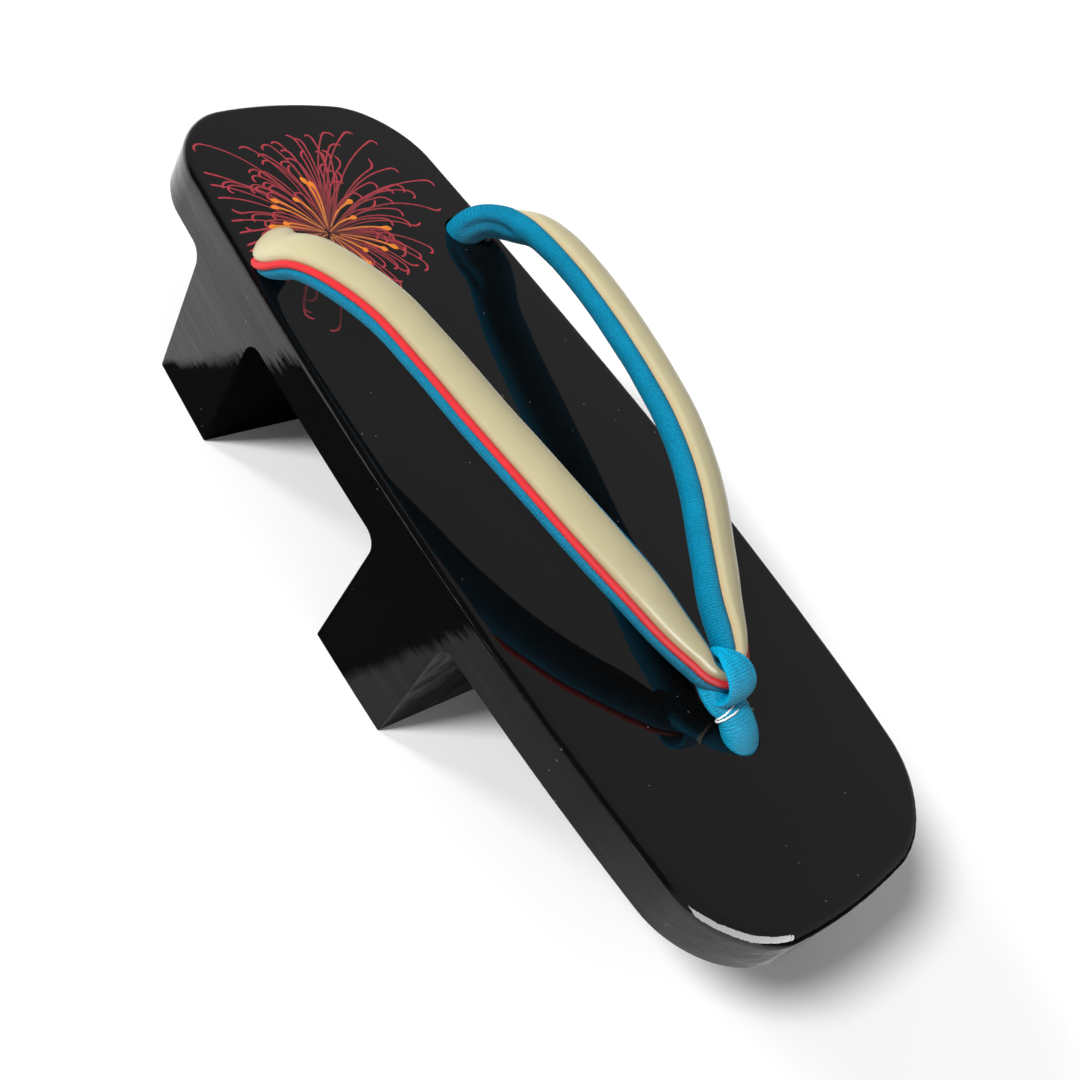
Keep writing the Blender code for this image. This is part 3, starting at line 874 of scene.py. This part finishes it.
def seam_angles(rows, piping):
    """Where the piping's seat ends and where the cover starts and stops, in degrees."""
    wide, thick, cover, seam, edge = rows[:, [3, 4, 6, 7, 8]].T
    half = arc_angle(wide, thick, seam, piping / 2)
    start = seam + half
    return seam - half, start, start + (edge - start) * cover


def strap_space(strap):
    """The room that the strap takes up, with its clearance, as a cutter."""
    rows, _, side, up = strap_sections(strap, 1.2 * MM)
    grid = shell(rows, side, up, ring_angles(40), PIPING_PROUD + CLEARANCE)
    grid[[0, -1], :, 2] -= CLEARANCE
    return solid("strap_space", grid.tolist())


class GETA_OT_strap(bpy.types.Operator):
    """Sew the padded strap: ribbed underside, satin top and red piping"""
    bl_idname = "geta.strap"
    bl_label = "Padded strap"

    def execute(self, context):
        build_groups()
        strap = context.scene.geta_strap
        self.underside(strap)
        self.top(strap)
        self.cord(strap)
        return {"FINISHED"}

    def underside(self, strap):
        rows, at, *section = strap_sections(strap, strap.rib_pitch / 4)
        low, start, stop = (column[:, None] for column in seam_angles(rows, strap.piping))
        angle = stop + (360 + low - stop) * np.linspace(0, 1, 33)
        size = np.degrees(LINING_ROLL / (rows[:, 4] / 2))[:, None]
        rolled = 1 - ease(np.minimum(angle - stop, 360 + low - angle) / size)
        rib = rib_wave(at, strap.rib_pitch, 21)[:, None]
        lump = LUMP * wander(at, 3, LUMP_RUN)[:, None] * np.sin(np.radians(angle * 2))
        for turn, first, last, depth in REAR_FOLDS:
            turned = angle - turn - FOLD_TURN * (at[:, None] - first)
            span = ease((at - first) / FOLD_START) * ease((last - at) / FOLD_STOP)
            lump = lump - depth * np.exp(-(turned / FOLD_WIDTH) ** 2) * span[:, None]
        out = (rib - 0.5) * strap.rib_depth * (1 - 0.6 * rolled) - LINING_SINK * rolled + lump
        seat = shell(rows, *section, np.hstack([low, start]), -0.9 * strap.piping)
        under_cover = start + (stop - start) * np.linspace(0, 1, 8)
        hidden = np.hstack([seat, shell(rows, *section, under_cover, -COVER_DEPTH)])
        grid = np.hstack([shell(rows, *section, angle, out), hidden])
        # Painted shade: the tone is low between the ribs and where the cloth rolls in at its
        # seams
        tone = np.hstack([rib * (1 - 0.75 * rolled), np.zeros(hidden.shape[:2])])
        place_piece("ribbed_underside", tube_mesh("ribbed_underside", grid, at, tone),
                    ribbed_material(strap.cloth), "ribbed_cloth", "strap_lining", fill=0.8)

    def top(self, strap):
        rows, at, side, up = strap_sections(strap, 0.6 * MM)
        wide, thick = rows[:, 3], rows[:, 4]
        _, start, stop = seam_angles(rows, strap.piping)
        stop = stop + arc_angle(wide, thick, stop, EDGE_STRAY * wander(at, 5, EDGE_STRAY_RUN))
        share = np.linspace(0, 1, 25)[None]
        angle = start[:, None] + (stop - start)[:, None] * share
        girth = COVER_RADIUS * wide * np.radians(stop - start) / 2
        rolled = 1 - ease(np.minimum(share, 1 - share) / (COVER_ROLL / (girth + WELD))[:, None])
        free = ease((np.minimum(at, at[-1] - at) - TAIL_DEPTH) / FREE_RUN)[:, None]
        crease = CREASE * wander(at, 9, CREASE_RUN)[:, None] * np.sin(np.pi * share) ** 2
        out = ((CROWN * np.sin(np.pi * share) + crease) * free
               - COVER_SINK * rolled * (0.25 + 0.75 * free))
        grid = np.hstack([shell(rows, side, up, angle, out),
                          shell(rows, side, up, angle[:, ::-1], 0.05 * MM - COVER_DEPTH)])
        # Painted shade: the tone falls where the satin rolls into its seams
        tone = np.hstack([1 - 0.85 * rolled ** 2, np.ones(angle.shape)])
        place_piece("satin_top", tube_mesh("satin_top", grid, at, tone),
                    satin_material(strap.satin), "satin", "strap_cover", fill=0.7)

    def cord(self, strap):
        rows, at, side, up = strap_sections(strap, 0.5 * MM)
        radius = strap.piping / 2
        centre = oval(rows[:, 3], rows[:, 4], rows[:, 7:8], PIPING_PROUD - radius)
        turn = np.radians(ring_angles(20))
        swell = radius * (1 + CORD_SWELL * wander(at, 11, CORD_SWELL_RUN))[:, None, None]
        flat = centre + swell * np.stack([np.cos(turn), np.sin(turn)], axis=-1)
        place_piece("red_piping", tube_mesh("red_piping", lay(rows, side, up, flat), at),
                    cord_material(strap.cord), "red_cord", "strap_piping")


# The loop and post

FRONT_HOLE, FRONT_HOLE_OFFSET = 196.3 * MM, -1 * MM
POST_DEPTH = 11 * MM
LOOP_BACK_REACH, LOOP_SLACK = 6.4 * MM, 0.3 * MM
KNOT_RIBS = 1.3
LOOP_FILL = 0.9
# The thread's two turns round the neck: the first's place, the second's step and lift, the slant
# and the half turn in degrees; and how many loose fibres there are
THREAD_PLACE, THREAD_STEP, THREAD_LIFT = 1.6 * MM, 0.7 * MM, 0.25 * MM
THREAD_SLANT, THREAD_TURN = 0.6 * MM, 75
WISPS, WISP_RADIUS = 7, 0.035 * MM

# The cloth gathered under the point, from inside the strap down to the neck, in millimetres
TUCK_STATIONS = [
    # x, y, z, wide, thick
    (4.2, 58.0, 57.0, 3.0, 3.0),
    (5.4, 62.0, 55.6, 5.2, 4.6),
    (5.6, 66.0, 53.8, 5.8, 4.8),
    (4.8, 69.6, 52.4, 5.6, 4.2),
    (3.8, 72.2, 51.8, 3.6, 3.0),
]


def post_sections(knot, strap, depth, step):
    """Sections of the post from the loop's neck to a depth in the front hole."""
    start = np.array((POINT_OFFSET, HEEL_Y + POINT_FROM_HEEL))
    end = np.array((FRONT_HOLE_OFFSET, HEEL_Y + FRONT_HOLE))
    rows = []
    for along, out, up, wide, thick in POST_STATIONS:
        x, y = start + (end - start) * along
        rows.append((x + out * knot.post_width, y, BLOCK_TOP + up * strap.rise,
                     wide * knot.post_width, thick * knot.post_thickness))
    rows.append((*rows[-1][:2], BLOCK_TOP - depth, *rows[-1][3:]))
    rows, at = even(through(rows, ROUTE_STEPS), step)
    return rows, at, *upright_frames(rows[:, :3], 0)


def fold(angle, middle):
    """A crease round one angle of a section, 1 in its middle."""
    return np.exp(-(((angle - middle + 180) % 360 - 180) / 12) ** 2)


def thin_tube(bm, path, radius, sides=8):
    """Add a thin round tube along a path, its ends drawn to a point."""
    path = np.array(path)
    side, up = upright_frames(path, 0)
    turn = np.radians(ring_angles(sides))
    from_end = np.minimum(np.arange(len(path)), np.arange(len(path))[::-1])
    size = radius * np.minimum(1, from_end / 2 + 0.15)
    flat = size[:, None, None] * np.stack([np.cos(turn), np.sin(turn)], axis=-1)
    skin(bm, lay(path, side, up, flat).tolist())


def post_space(knot, strap, depth):
    """The room that the post takes up, with its clearance, as a cutter."""
    rows, _, side, up = post_sections(knot, strap, depth, 0.8 * MM)
    return solid("post_space", shell(rows, side, up, ring_angles(40), CLEARANCE).tolist())


def loop_piece(name, grid, at, rib, cloth, *nodes, closed=False):
    """A padded piece of the loop's ribbed cloth; its ribs' wave is the tone that paints shade
    between the ribs.
    """
    place_piece(name, tube_mesh(name, grid, at, rib, closed), cloth, "ribbed_cloth", *nodes,
                fill=LOOP_FILL)


class GETA_OT_knot(bpy.types.Operator):
    """Fold the loop over the strap's point and run its post into the front hole"""
    bl_idname = "geta.knot"
    bl_label = "Toe loop"

    def execute(self, context):
        build_groups()
        knot, strap = context.scene.geta_knot, context.scene.geta_strap
        # The loop's own, lighter copy of the ribbed cloth: painted light from the toe's side
        cloth = ribbed_material(knot.cloth)
        sections = post_sections(knot, strap, POST_DEPTH, strap.rib_pitch / 5)
        self.post(strap, cloth, *sections)
        self.band(knot, strap, cloth)
        self.tuck(cloth)
        self.threads(knot, *sections)
        return {"FINISHED"}

    def post(self, strap, cloth, rows, at, side, up):
        """The post, creased under its neck."""
        rib = rib_wave(at, strap.rib_pitch, 25)[:, None]
        ring = ring_angles(48)
        crease = 0.5 * MM * fold(ring, 250) * (1 - ease(at / (9 * MM)))[:, None]
        out = (rib - 0.5) * strap.rib_depth * KNOT_RIBS - crease
        loop_piece("toe_post", shell(rows, side, up, ring, out), at, rib, cloth, "toe_loop")

    def band(self, knot, strap, cloth):
        """The band round the strap's point, loose on the toe's side."""
        _, _, _, up, _, wide, thick, *_ = STRAP_STATIONS[-1]
        gap = PIPING_PROUD + CLEARANCE + knot.band_thickness / 2
        front = wide * strap.width / 2 + gap
        across = (front + LOOP_BACK_REACH) / 2
        high = thick * strap.thickness / 2 + LOOP_SLACK + gap
        middle = np.array((POINT_OFFSET, HEEL_Y + POINT_FROM_HEEL + front - across,
                           BLOCK_TOP + up * strap.rise))
        stations = [(turn + shift, w, t) for shift, rows in (
            (-360, LOOP_STATIONS[-1:]), (0, LOOP_STATIONS), (360, LOOP_STATIONS[:2]))
            for turn, w, t in rows]
        turn, wide, thick = through(stations, 20).T
        turns = np.linspace(0, 360, 240, endpoint=False)
        wide = np.interp(turns, turn, wide) * knot.band_width
        thick = np.interp(turns, turn, thick) * knot.band_thickness
        a = np.radians(turns)
        centre = middle + np.stack([0 * a, across * np.cos(a), high * np.sin(a)], axis=1)
        outward = np.stack([0 * a, high * np.cos(a), across * np.sin(a)], axis=1)
        outward /= np.linalg.norm(outward, axis=1)[:, None]
        sideways = np.tile((1.0, 0.0, 0.0), (len(a), 1))
        walked = distances(np.vstack([centre, centre[:1]]))
        pitch = walked[-1] / round(walked[-1] / strap.rib_pitch)
        rib = 0.5 - 0.5 * np.cos(2 * np.pi * walked[:-1, None] / pitch)
        ring = ring_angles(40)
        loose = np.abs(np.sin(a / 2))[:, None]
        crease = 0.35 * MM * (fold(ring, 70) + fold(ring, 128)) * loose
        out = (rib - 0.5) * strap.rib_depth * KNOT_RIBS - crease
        grid = lay(centre, sideways, outward, oval(wide, thick, ring, out))
        loop_piece("loop_band", np.vstack([grid, grid[:1]]), walked, np.vstack([rib, rib[:1]]),
                   cloth, closed=True)

    def tuck(self, cloth):
        """The strap's cloth gathered into the loop's eye, under the point."""
        rows, at = even(through(np.array(TUCK_STATIONS) * MM, ROUTE_STEPS), 0.14 * MM)
        side, up = upright_frames(rows[:, :3], 0)
        rib = rib_wave(at, 0.6 * MM, 31)[:, None]
        ring = ring_angles(32)
        crease = 0.3 * MM * (fold(ring, 20) + fold(ring, 160) + fold(ring, 285))
        out = (rib - 0.5) * 0.08 * MM - crease
        loop_piece("loop_tuck", shell(rows, side, up, ring, out), at, rib, cloth)

    def threads(self, knot, rows, at, side, up):
        """The white sewing thread round the neck, and a few loose fibres on the post."""
        bm = bmesh.new()
        for start, lift in ((THREAD_PLACE, 0.0), (THREAD_PLACE + THREAD_STEP, THREAD_LIFT)):
            path = []
            for turn in np.linspace(-THREAD_TURN, THREAD_TURN, 24):
                i = int(np.searchsorted(at, start + THREAD_SLANT * turn / THREAD_TURN))
                t = math.radians(180 + turn)
                wide, thick = rows[i, 3:5] / 2 + knot.thread / 4 + lift
                path.append(rows[i, :3] + side[i] * wide * math.cos(t)
                            + up[i] * thick * math.sin(t))
            thin_tube(bm, path, knot.thread / 2)
        draw = random.Random(5)
        for _ in range(WISPS):
            i = draw.randrange(len(at) // 10, len(at) // 3)
            t = math.radians(draw.uniform(-20, 35))
            across, over = side[i] * math.cos(t), up[i] * math.sin(t)
            wide, thick = rows[i, 3:5] / 2
            root = rows[i, :3] + across * wide + over * thick
            drift = np.array([draw.uniform(-1, 1) for _ in range(3)])
            reach = draw.uniform(0.5, 1.2) * MM
            thin_tube(bm, [root + (across + over) * reach * s * (1 - 0.5 * s)
                           + drift * reach * s * s for s in np.linspace(0, 1, 9)],
                      WISP_RADIUS, 5)
        material, _ = new_material("white_thread", {"Base Color": (0.80, 0.82, 0.80, 1),
                                                    "Roughness": 0.6})
        mesh = smooth_mesh(bm, bpy.data.meshes.new("loop_thread"))
        place_piece("loop_thread", mesh, material, "satin")


# The painted burst

BURST_CENTRE = (11.5 * MM, -73.3 * MM)
PAINT_HEIGHT = 0.05 * MM
BURST_MARGIN = 0.8 * MM
# Lengths of the rays as shares of the burst's reach, and how their tips hook, in radians
RAY_SIZES = (0.52, 0.66, 0.80, 0.92, 1.04)
RAY_HOOKS = (1.6, 2.1, 2.5, 2.9, -1.8)
# Points of a thickened tip, and how much wider than the ray it is
TIP_POINTS, TIP_WIDENING = 6, 1.35
# The heading, in degrees, that the rays bend away from on either side
BURST_CREST = 237

# How far the rays reach by heading, in degrees, as a share of the longest ray
BURST_REACH = [    # (heading, reach), ...
    (0, 0.68), (30, 0.60), (48, 0.64), (54, 0.84), (60, 0.64), (80, 0.48),
    (120, 0.42), (141, 0.62), (164, 0.76), (184, 0.93), (205, 1.00), (222, 0.92),
    (240, 0.86), (262, 0.74), (285, 0.72), (306, 0.88), (330, 0.75), (345, 0.68),
]


def burst_reach(heading):
    """Share of the longest ray at a heading in degrees."""
    return float(np.interp(heading % 360, *zip(*BURST_REACH, (360, BURST_REACH[0][1]))))


def away(heading):
    """Which way a ray bends: 1 on one side of the crest, -1 on the other."""
    return 1 if (heading - BURST_CREST) % 360 < 180 else -1


def ray_path(draw, heading, size, bend, hook, curl):
    """Points of one ray from the centre, curving away and then hooking over at its tip."""
    steps = 48
    heading = math.radians(heading)
    start = draw.uniform(0.3, 3.0) * MM
    x = BURST_CENTRE[0] + start * math.cos(heading)
    y = BURST_CENTRE[1] + start * math.sin(heading)
    path = []
    for i in range(steps + 1):
        path.append((x, y))
        s = i / steps
        angle = heading + bend * s * s + hook * max(0.0, (s - 1 + curl) / curl) ** 1.2
        x += size / steps * math.cos(angle)
        y += size / steps * math.sin(angle)
    return path


def stroke_mesh(bm, path, widths, height):
    """Add one raised stroke, a low ridge along the path whose tone runs from 0 to 1."""
    tone = bm.verts.layers.float.get("tone") or bm.verts.layers.float.new("tone")
    path = [Vector((*p, 0)) for p in path]
    rows = []
    for i, p in enumerate(path):
        run = path[min(i + 1, len(path) - 1)] - path[max(i - 1, 0)]
        across = Vector((-run.y, run.x, 0)).normalized() * widths[i] / 2
        rise = height * min(1.0, widths[i] / (0.3 * MM))
        rows.append([bm.verts.new((*(p + across * k).xy, BLOCK_TOP + rise * h))
                     for k, h in ((-1, -0.2), (-0.6, 0.75), (0, 1), (0.6, 0.75), (1, -0.2))])
        for vert in rows[-1]:
            vert[tone] = i / (len(path) - 1)
    for a, b in zip(rows, rows[1:]):
        for i in range(4):
            bm.faces.new((a[i], b[i], b[i + 1], a[i + 1]))


class GETA_OT_burst(bpy.types.Operator):
    """Paint the thin-line burst on the heel"""
    bl_idname = "geta.burst"
    bl_label = "Painted burst"

    def execute(self, context):
        build_groups()
        burst, sole = context.scene.geta_burst, context.scene.geta_sole
        draw = random.Random(burst.seed)
        self.rays(draw, burst, sole)
        self.strokes(draw, burst)
        return {"FINISHED"}

    def rays(self, draw, burst, sole):
        """Thin rays that bend away from the crest and curl at their tips, short of the edge."""
        margin = sole.rim + BURST_MARGIN
        bm = bmesh.new()
        for i in range(burst.rays):
            heading = 360 * (i + draw.uniform(-0.45, 0.45)) / burst.rays
            size = burst.reach * burst_reach(heading) * draw.choice(RAY_SIZES)
            size *= draw.uniform(0.94, 1.06)
            off_crest = abs(math.sin(math.radians(heading - BURST_CREST)))
            bend = away(heading) * (0.35 + 0.75 * off_crest) * draw.uniform(0.7, 1.25)
            hook = away(heading) * draw.choice(RAY_HOOKS)
            path = ray_path(draw, heading - math.degrees(bend) * 0.45, size, bend, hook,
                            min(0.26, draw.uniform(3.2, 5.4) * MM / size))
            path = [(x, y) for x, y in path
                    if x < side_half_width(y - HEEL_Y, sole.width) - margin]
            widths = [burst.line * (0.5 + 0.5 * ease(k / 20)) for k in range(len(path))]
            for k in range(1, TIP_POINTS + 1):
                widths[-k] *= TIP_WIDENING
            widths[-1] *= 0.4
            stroke_mesh(bm, path, widths, PAINT_HEIGHT)
        self.place(bm, "burst_rays", paint_material("red_paint", burst.heart, burst.red))

    def strokes(self, draw, burst):
        """Short strokes round the centre, each with a drop near its tip."""
        bm = bmesh.new()
        for i in range(burst.strokes):
            heading = 360 * (i + draw.uniform(-0.4, 0.4)) / burst.strokes
            size = burst.reach * draw.uniform(0.24, 0.42) * (0.6 + 0.4 * burst_reach(heading))
            path = ray_path(draw, heading, size, away(heading) * draw.uniform(0.3, 0.9), 0.3, 0.3)
            along = np.linspace(0, 1, len(path))
            drop = np.exp(-((along - 0.92) / 0.06) ** 2)
            widths = (burst.line * (0.9 + 0.8 * along + 2.3 * drop)).tolist()
            widths[-1] *= 0.3
            stroke_mesh(bm, path, widths, 1.6 * PAINT_HEIGHT)
        self.place(bm, "burst_strokes", paint_material("orange_paint", burst.ochre,
                                                       burst.orange))

    def place(self, bm, name, paint):
        place_piece(name, smooth_mesh(bm, bpy.data.meshes.new(name)), paint, "lacquered_wood")


# The stage

FLOOR_SIZE = 3.0
CAMERA_PLACE = (0.22449, 0.11017, 0.25647)
CAMERA_TARGET = (-0.0077, 0.0122, 0.03)
CAMERA_ROLL = 38.19
CAMERA_SHIFT = -0.0145

# The suns: where they stand, and how wide they are in degrees
SUNS = {
    # name: (from, angle)
    "key": ((0.69, -0.24, 0.68), 13),
    "low": ((0.48, -0.78, 0.41), 15),
}
SOFTBOX_PLACE, SOFTBOX_AIM = Vector((0.17, 1.0, 0.42)), Vector((0, 0.06, 0.05))
SOFTBOX_SIZE, SOFTBOX_POWER = (1.6, 0.75), 40

# How much of the floor's light the lacquer mirrors, added up along one axis; drift wobbles it;
# the rest is a painted dark reflection
MIRRORED_FLOOR = [
    # axis, from, to, drift, share
    ("Y", -0.079, -0.083, 0.014, 1.0),
    ("Y", 0.012, 0.015, 0.006, 0.36),
    ("Y", 0.070, 0.120, 0.010, 0.64),
    ("X", 0.001, -0.001, 0.0, 1.0),
]
# Beyond these places on both axes it mirrors none
SHUT_CORNER = {"Y": (0.122, 0.15), "X": (0.035, -0.03)}
# Painted dark reflection, seen only in the lacquer
PAINTED_DARK_REFLECTION = (0.015, 0.015, 0.015, 1)

# The room's dark side as the lacquer mirrors it: where it is, from and to as cosines, strength
DARK_SIDE = Vector((0.75, -0.38, 0.54)).normalized()
DARK_FROM, DARK_TO, DARK_STRENGTH = 0.72, 0.86, 0.024


class GETA_OT_stage(bpy.types.Operator):
    """Set the floor, the lights and the camera"""
    bl_idname = "geta.stage"
    bl_label = "Stage"

    def execute(self, context):
        stage = context.scene.geta_stage
        self.floor(stage)
        self.room(context, stage)
        self.lamps(stage)
        self.camera(context, stage)
        context.scene.view_settings.view_transform = "Standard"
        return {"FINISHED"}

    def floor(self, stage):
        mesh = bpy.data.meshes.new("floor")
        mesh.from_pydata([(x * FLOOR_SIZE, y * FLOOR_SIZE, 0) for x, y in
                          ((-1, -1), (1, -1), (1, 1), (-1, 1))], [], [(0, 1, 2, 3)])
        mesh.materials.append(self.floor_material(stage))
        link("floor", mesh)

    def floor_material(self, stage):
        """Pale and matt; beside the teeth, for the lacquer alone, a painted dark reflection."""
        made, tree = new_material("pale_floor", {"Roughness": 0.9, "Specular IOR Level": 0.0})
        place = own_place(tree)
        axes = add(tree, "SeparateXYZ", {0: place}).outputs
        ragged = noise(tree, place, 90.0, 3.0)
        pale = 0.0
        for axis, low, high, drift, share in MIRRORED_FLOOR:
            moved = maths(tree, "MULTIPLY_ADD", ragged, drift, axes[axis])
            band = remap(tree, moved, low + drift / 2, high + drift / 2, 0.0, share)
            pale = maths(tree, "ADD", pale, band, clamp=True)
        shut = maths(tree, "MULTIPLY", *(remap(tree, axes[axis], low, high)
                                         for axis, (low, high) in SHUT_CORNER.items()))
        dark = maths(tree, "SUBTRACT", 1.0, maths(tree, "SUBTRACT", pale, shut, clamp=True))
        # Glossy rays see the painted dark reflection
        mirrored = add(tree, "LightPath").outputs["Is Glossy Ray"]
        seen = maths(tree, "MULTIPLY", dark, mirrored)
        return finished(made, blend(tree, seen, (*stage.floor, 1), PAINTED_DARK_REFLECTION))

    def room(self, context, stage):
        """A pale room: brighter for the eye than for what it lights, dark beside the heel."""
        world = bpy.data.worlds.new("room")
        context.scene.world = world
        world.use_nodes = True
        tree = world.node_tree
        tree.nodes.clear()
        toward = add(tree, "TexCoord").outputs["Generated"]
        side = add(tree, "VectorMath", {0: toward, 1: tuple(DARK_SIDE)},
                   operation="DOT_PRODUCT").outputs["Value"]
        dark = remap(tree, side, DARK_FROM, DARK_TO, stage.gloss, DARK_STRENGTH)
        path = add(tree, "LightPath").outputs
        strength = blend(tree, path["Is Glossy Ray"], stage.fill, dark, "FLOAT")
        seen = blend(tree, path["Is Camera Ray"], strength, 1.0, "FLOAT")
        back = add(tree, "Background", {"Color": (1, 1, 1, 1), "Strength": seen})
        add(tree, "OutputWorld", {"Surface": back.outputs[0]}).is_active_output = True

    def lamps(self, stage):
        for name, (source, angle) in SUNS.items():
            sun = bpy.data.lights.new(name, "SUN")
            sun.energy = getattr(stage, name)
            sun.angle = math.radians(angle)
            self.hang(sun, (0, 0, 0), source).visible_glossy = False
        box = bpy.data.lights.new("softbox", "AREA")
        box.shape = "RECTANGLE"
        box.size, box.size_y = SOFTBOX_SIZE
        box.energy = SOFTBOX_POWER
        self.hang(box, SOFTBOX_PLACE, SOFTBOX_PLACE - SOFTBOX_AIM).visible_diffuse = False

    def hang(self, light, place, source):
        """Link a lamp that shines from the direction of a source."""
        lamp = link(light.name, light)
        lamp.location = place
        lamp.rotation_euler = Vector(source).to_track_quat("Z", "Y").to_euler()
        return lamp

    def camera(self, context, stage):
        place = Vector(CAMERA_PLACE)
        ahead = (Vector(CAMERA_TARGET) - place).normalized()
        level = ahead.cross(Vector((0, 0, 1))).normalized()
        over = level.cross(ahead)
        roll = math.radians(CAMERA_ROLL)
        right = level * math.cos(roll) + over * math.sin(roll)
        up = right.cross(ahead)
        camera = link("camera", bpy.data.cameras.new("camera"))
        camera.matrix_world = Matrix.Translation(place) @ Matrix(
            (right, up, -ahead)).transposed().to_4x4()
        camera.data.lens = stage.lens
        camera.data.shift_x = CAMERA_SHIFT
        camera.data.clip_start = 0.01
        context.scene.camera = camera


class GETA_PT_panel(bpy.types.Panel):
    """Lists the sandal's pieces in the sidebar"""
    bl_idname = "GETA_PT_panel"
    bl_label = "Geta"
    bl_space_type = "VIEW_3D"
    bl_region_type = "UI"
    bl_category = "Geta"

    def draw(self, context):
        for operator, group in PIECES:
            column = self.layout.box().column()
            column.operator(operator.bl_idname)
            settings = getattr(context.scene, group)
            for name in settings.__annotations__:
                column.prop(settings, name)


SETTINGS = {
    "geta_sole": SoleSettings,
    "geta_strap": StrapSettings,
    "geta_knot": KnotSettings,
    "geta_burst": BurstSettings,
    "geta_stage": StageSettings,
}
PIECES = (
    (GETA_OT_block, "geta_sole"),
    (GETA_OT_strap, "geta_strap"),
    (GETA_OT_knot, "geta_knot"),
    (GETA_OT_burst, "geta_burst"),
    (GETA_OT_stage, "geta_stage"),
)


def register():
    for group in SETTINGS.values():
        bpy.utils.register_class(group)
    for name, group in SETTINGS.items():
        setattr(bpy.types.Scene, name, PointerProperty(type=group))
    for operator, _ in PIECES:
        bpy.utils.register_class(operator)
    bpy.utils.register_class(GETA_PT_panel)


def unregister():
    bpy.utils.unregister_class(GETA_PT_panel)
    for operator, _ in reversed(PIECES):
        bpy.utils.unregister_class(operator)
    for name, group in SETTINGS.items():
        delattr(bpy.types.Scene, name)
        bpy.utils.unregister_class(group)


def main():
    register()
    bpy.ops.geta.block()
    bpy.ops.geta.strap()
    bpy.ops.geta.knot()
    bpy.ops.geta.burst()
    bpy.ops.geta.stage()


if __name__ == "__main__":
    main()
